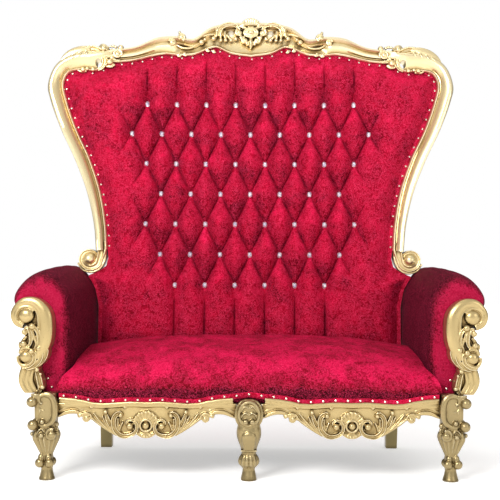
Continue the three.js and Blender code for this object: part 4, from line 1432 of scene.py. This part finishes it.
@dataclass
class FrontRails:
    """The two carved aprons under the seat, each round a shell."""

    finishes: Finishes
    centre: float = RAIL_CENTRE
    ends: tuple[float, float] = (44.0, 684.5)
    top: float = 271.8
    half_depth: float = 17.5
    bedding: float = 9.5  # the depth of the strands' backs, inside the board
    lower_edge: tuple[tuple[float, float], ...] = (
        (0, 158), (22, 159), (42, 163), (66, 156), (90, 158), (118, 168), (146, 186), (172, 204),
        (196, 213), (216, 223), (240, 231), (272, 231), (300, 222),
    )
    foot: float = 212.0

    def plate(self, skin: Skin) -> None:
        """Adds the sawn board, its face hollowed a little under the lip."""
        half = smooth_path(self.lower_edge, 6)
        d = self.half_depth
        rear = ((self.top, 2 - d), (self.top - 3, -d))
        rings = []
        for u in np.linspace(self.ends[0] - self.centre, self.ends[1] - self.centre, 160):
            low = float(np.interp(abs(u), [*half[:, 0], 330], [*half[:, 1], self.foot]))
            front = (
                (low, d - 6), (low + 1.5, d - 1), (low + 5, d + 1), (low + 9, d - 2), (low + 14, d - 4),
                (low + (self.top - low) * 0.55, d - 5), (self.top - 18, d - 3.5), (self.top - 13, d - 0.5),
                (self.top - 9, d + 1), (self.top - 3, d + 0.5), (self.top, d - 3),
            )
            section = (*front, *rear, (low + 3, -d), (low, 3 - d))
            rings.append([(self.centre + u, -depth, z) for z, depth in section])
        skin.loft(rings)

    def half_carving(self, c: Carving) -> None:
        """Carves the right half: a volute that runs on into a plume, blades and an edge scroll."""
        face = self.half_depth
        # The volute, its eye and the plume.
        c.strand(GROOVED, face, 1.0, (66, 194, 3.5), (66, 206, 4.5), (54, 213, 5), (38, 206, 5.5),
                 (31, 188, 6), (38, 168, 7), (60, 157, 8), (86, 158, 9), (106, 176, 9), (113, 202, 9),
                 (108, 226, 9), (92, 236, 8), (80, 228, 5))
        c.bead(56, 191, 12.5, face + 3)
        c.bead(88, 229, 8, face + 6)
        c.strand(RIDGED, face, 1.0, (80, 206, 3), (88, 190, 5), (92, 172, 4), (84, 160, 3))
        c.strand(RIDGED, face, 1.0, (98, 218, 3), (98, 200, 5), (96, 180, 4), (84, 164, 3))
        # The blades that lean out beside it.
        c.strand(GROOVED, face - 1, 1.0, (141, 240, 4), (136, 222, 7), (126, 198, 8), (108, 174, 6),
                 (88, 156, 4))
        c.bead(141, 241, 7.5, face + 4)
        c.strand(RIDGED, face - 2, 1.0, (153, 226, 2), (144, 206, 5), (128, 182, 5), (104, 160, 3))
        c.strand(RIDGED, face - 2, 1.0, (184, 236, 2), (170, 218, 5), (150, 196, 6), (126, 174, 5),
                 (104, 158, 3))
        c.strand(RIDGED, face - 2, 1.0, (200, 232, 2), (186, 216, 5), (164, 198, 5), (142, 182, 4),
                 (122, 168, 3))
        # The edge scroll, which runs out to the leg.
        c.volute(208, 217, 13, 8, 130, -0.9, (4.5, 3.5), face - 1, 8)
        c.strand(ROUND, face - 1, 1.0, (190, 214, 3), (196, 230, 4), (212, 236, 4.5), (226, 230, 4))
        c.volute(231, 227, 10, 6, 200, -0.8, (3.5, 3), face - 1, 6.5)
        c.strand(ROUND, face - 3, 1.0, (226, 228, 4), (240, 240, 5), (262, 243, 5), (284, 238, 4.5),
                 (306, 226, 4))
        c.strand(ROUND, face - 5, 1.0, (222, 246, 2.5), (244, 255, 3), (270, 256, 3), (296, 248, 2.5),
                 (312, 240, 2))
        # Two rolls that follow the scalloped lip, and the curls under them.
        stations = (0, 28, 55, 78, 101, 124, 147, 165, 184, 202, 220, 238, 257, 282, 306)
        lip = [(u, lip_height(self.centre + u)) for u in stations]
        c.strand(ROUND, 15.5, 1.0, *[(u, v - 3, 6) for u, v in lip], back=14.2, steps=3)
        c.strand(ROUND, face - 2, 0.8, *[(u, v - 12, 5) for u, v in lip[::2]], steps=4)
        for u in (75, 193):
            c.volute(u, 258, 7, 4, 20, 0.8, (3, 2.4), face, 4.5)
            c.strand(RIDGED, face - 1, 1.0, (u - 14, 266, 2.5), (u - 4, 262, 4), (u + 8, 258, 2))

    def board(self) -> Piece:
        """Builds the right apron."""
        skin = Skin()
        self.plate(skin)
        for side in (-1, 1):
            self.half_carving(Carving(lambda u, v, d: (self.centre + u * side, -d, v), skin, self.bedding))
        c = Carving(lambda u, v, d: (self.centre + u, -d, v), skin, self.bedding)
        face = self.half_depth
        c.fan(0, 197, 22, 46, 8, 172, 9, face - 3, flat=1.02)
        c.ring(0, 197, 46, 47, 2.5, face - 2)
        c.ring(0, 193, 20, 20, 4.5, face)
        c.bead(0, 193, 12.5, face + 2)
        c.fan(0, 176, 6, 26, 232, 308, 4, face - 2)
        return fused(skin, "front_rail_carving_right", 84000, grain=1.7)

    def built(self) -> None:
        """Builds and dresses both aprons."""
        dressed_pair(self.board(), self.finishes.facing_and_rail_gold, "gilded_wood", "front_rail_right")


@dataclass
class PlainTimbers:
    """The plain back legs, the side and rear rails, and the deck under the seat."""

    finishes: Finishes
    easing: float = 2.5  # how far each edge is rounded over

    def eased(self, node: str, name: str) -> Piece:
        """Returns a copy of a plain CAD solid with its edges rounded over."""
        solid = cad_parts[node]
        mesh = solid.data.copy()
        mesh.name = name
        mesh.transform(solid.matrix_world)
        piece = bpy.data.objects.new(name, mesh)
        bpy.context.scene.collection.objects.link(piece)
        work = bmesh.new()
        work.from_mesh(mesh)
        bmesh.ops.remove_doubles(work, verts=work.verts, dist=0.01 * MM)
        bmesh.ops.dissolve_limit(work, angle_limit=math.radians(1), verts=work.verts, edges=work.edges)
        work.to_mesh(mesh)
        work.free()
        modified(piece, "BEVEL", width=self.easing * MM, segments=3, limit_method="ANGLE",
                 angle_limit=math.radians(35))
        softened(piece, 40)
        return piece

    def built(self) -> None:
        """Builds and dresses the plain timbers and the deck."""
        # These timbers take the darker gold, which is painted shade.
        for node in ("back_leg_right", "back_leg_left", "side_rail_right", "side_rail_left", "rear_rail"):
            dressed(self.eased(node, f"{node}_timber"), self.finishes.shaded_gold, "gilded_wood", node)
        dressed(self.eased("seat_deck", "seat_deck_cloth"), self.finishes.dust, "dust_cloth", "seat_deck")


# ---- Studio --------------------------------------------------------------------------------------


@dataclass
class Studio:
    """Pale floor, soft lights and the camera."""

    finishes: Finishes
    lens: float = 66.3
    eye: Point = (0.0014, -3.627, 0.688)
    rise: float = 0.07  # the frame is moved up by this share, so that upright lines stay upright
    roll: float = -0.27  # degrees: the camera hangs a little to one side

    def camera(self) -> None:
        """Adds the level camera, at the height of the arms."""
        data = bpy.data.cameras.new("camera")
        data.lens = self.lens
        data.sensor_width = 36
        data.shift_y = self.rise
        camera = bpy.data.objects.new("camera", data)
        camera.location = self.eye
        camera.rotation_euler = (math.radians(90), math.radians(self.roll), 0)
        bpy.context.scene.collection.objects.link(camera)
        bpy.context.scene.camera = camera

    def light(self, name: str, place: Point, aim: Point, size: float, power: float) -> None:
        """Adds a square soft white light that points at a place."""
        data = bpy.data.lights.new(name, "AREA")
        data.size, data.energy = size, power
        lamp = bpy.data.objects.new(name, data)
        lamp.location = place
        lamp.rotation_euler = (Vector(aim) - Vector(place)).to_track_quat("-Z", "Y").to_euler()
        bpy.context.scene.collection.objects.link(lamp)

    def surroundings(self) -> bpy.types.World:
        """Makes a white room that is bright above and in front and dimmer at the sides and behind."""
        world = bpy.data.worlds.new("studio")
        world.use_nodes = True
        tree = world.node_tree
        room = tree.nodes["Background"]
        room.inputs["Color"].default_value = linear("#FFFFFF")
        direction = add_node(tree, "ShaderNodeTexCoord").outputs["Generated"]
        brightest = {0: direction, 1: (0.0, -0.55, 0.83)}
        toward = add_node(tree, "ShaderNodeVectorMath", brightest, operation="DOT_PRODUCT").outputs["Value"]
        feed(tree, room, {"Strength": mapped(tree, toward, -0.3, 0.85, 0.10, 0.86)})
        paper = add_node(tree, "ShaderNodeBackground", {"Color": linear("#FFFFFF"), "Strength": 1.0})
        seen = add_node(tree, "ShaderNodeLightPath").outputs["Is Camera Ray"]
        mixed = add_node(tree, "ShaderNodeMixShader", {0: seen, 1: room.outputs[0], 2: paper.outputs[0]})
        tree.links.new(mixed.outputs[0], tree.nodes["World Output"].inputs["Surface"])
        return world

    def built(self) -> None:
        """Builds the studio."""
        bpy.context.scene.view_settings.view_transform = "Standard"
        bpy.context.scene.world = self.surroundings()
        bpy.ops.object.select_all(action="DESELECT")
        bpy.ops.mesh.primitive_plane_add(size=60, location=(0, 0, 0))
        floor = bpy.context.active_object
        floor.name = "studio_floor"
        floor.data.materials.append(self.finishes.paper)
        floor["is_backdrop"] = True
        self.light("key", (-1.6, -3.5, 2.8), (0, 0, 0.9), 1.5, 150)
        self.light("fill", (2.6, -2.8, 1.8), (0, 0, 0.8), 1.6, 20)
        self.light("top", (0.0, 0.3, 3.9), (0, 0, 0.8), 2.0, 16)
        self.camera()


def main() -> None:
    """Builds every sub-assembly in order."""
    logging.basicConfig(level=logging.INFO, format="%(message)s")
    finishes = Finishes()
    sub_parts = (BackFrame, BackUpholstery, SeatAndArms, ArmFacing, FrontLegs, FrontRails, PlainTimbers)
    for builder in (Studio, *sub_parts):
        builder(finishes).built()
    boxes = {"cad": CAD_BOX, "visual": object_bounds()}
    plain = {key: [[float(c) for c in corner] for corner in box] for key, box in boxes.items()}


if __name__ == "__main__":
    main()
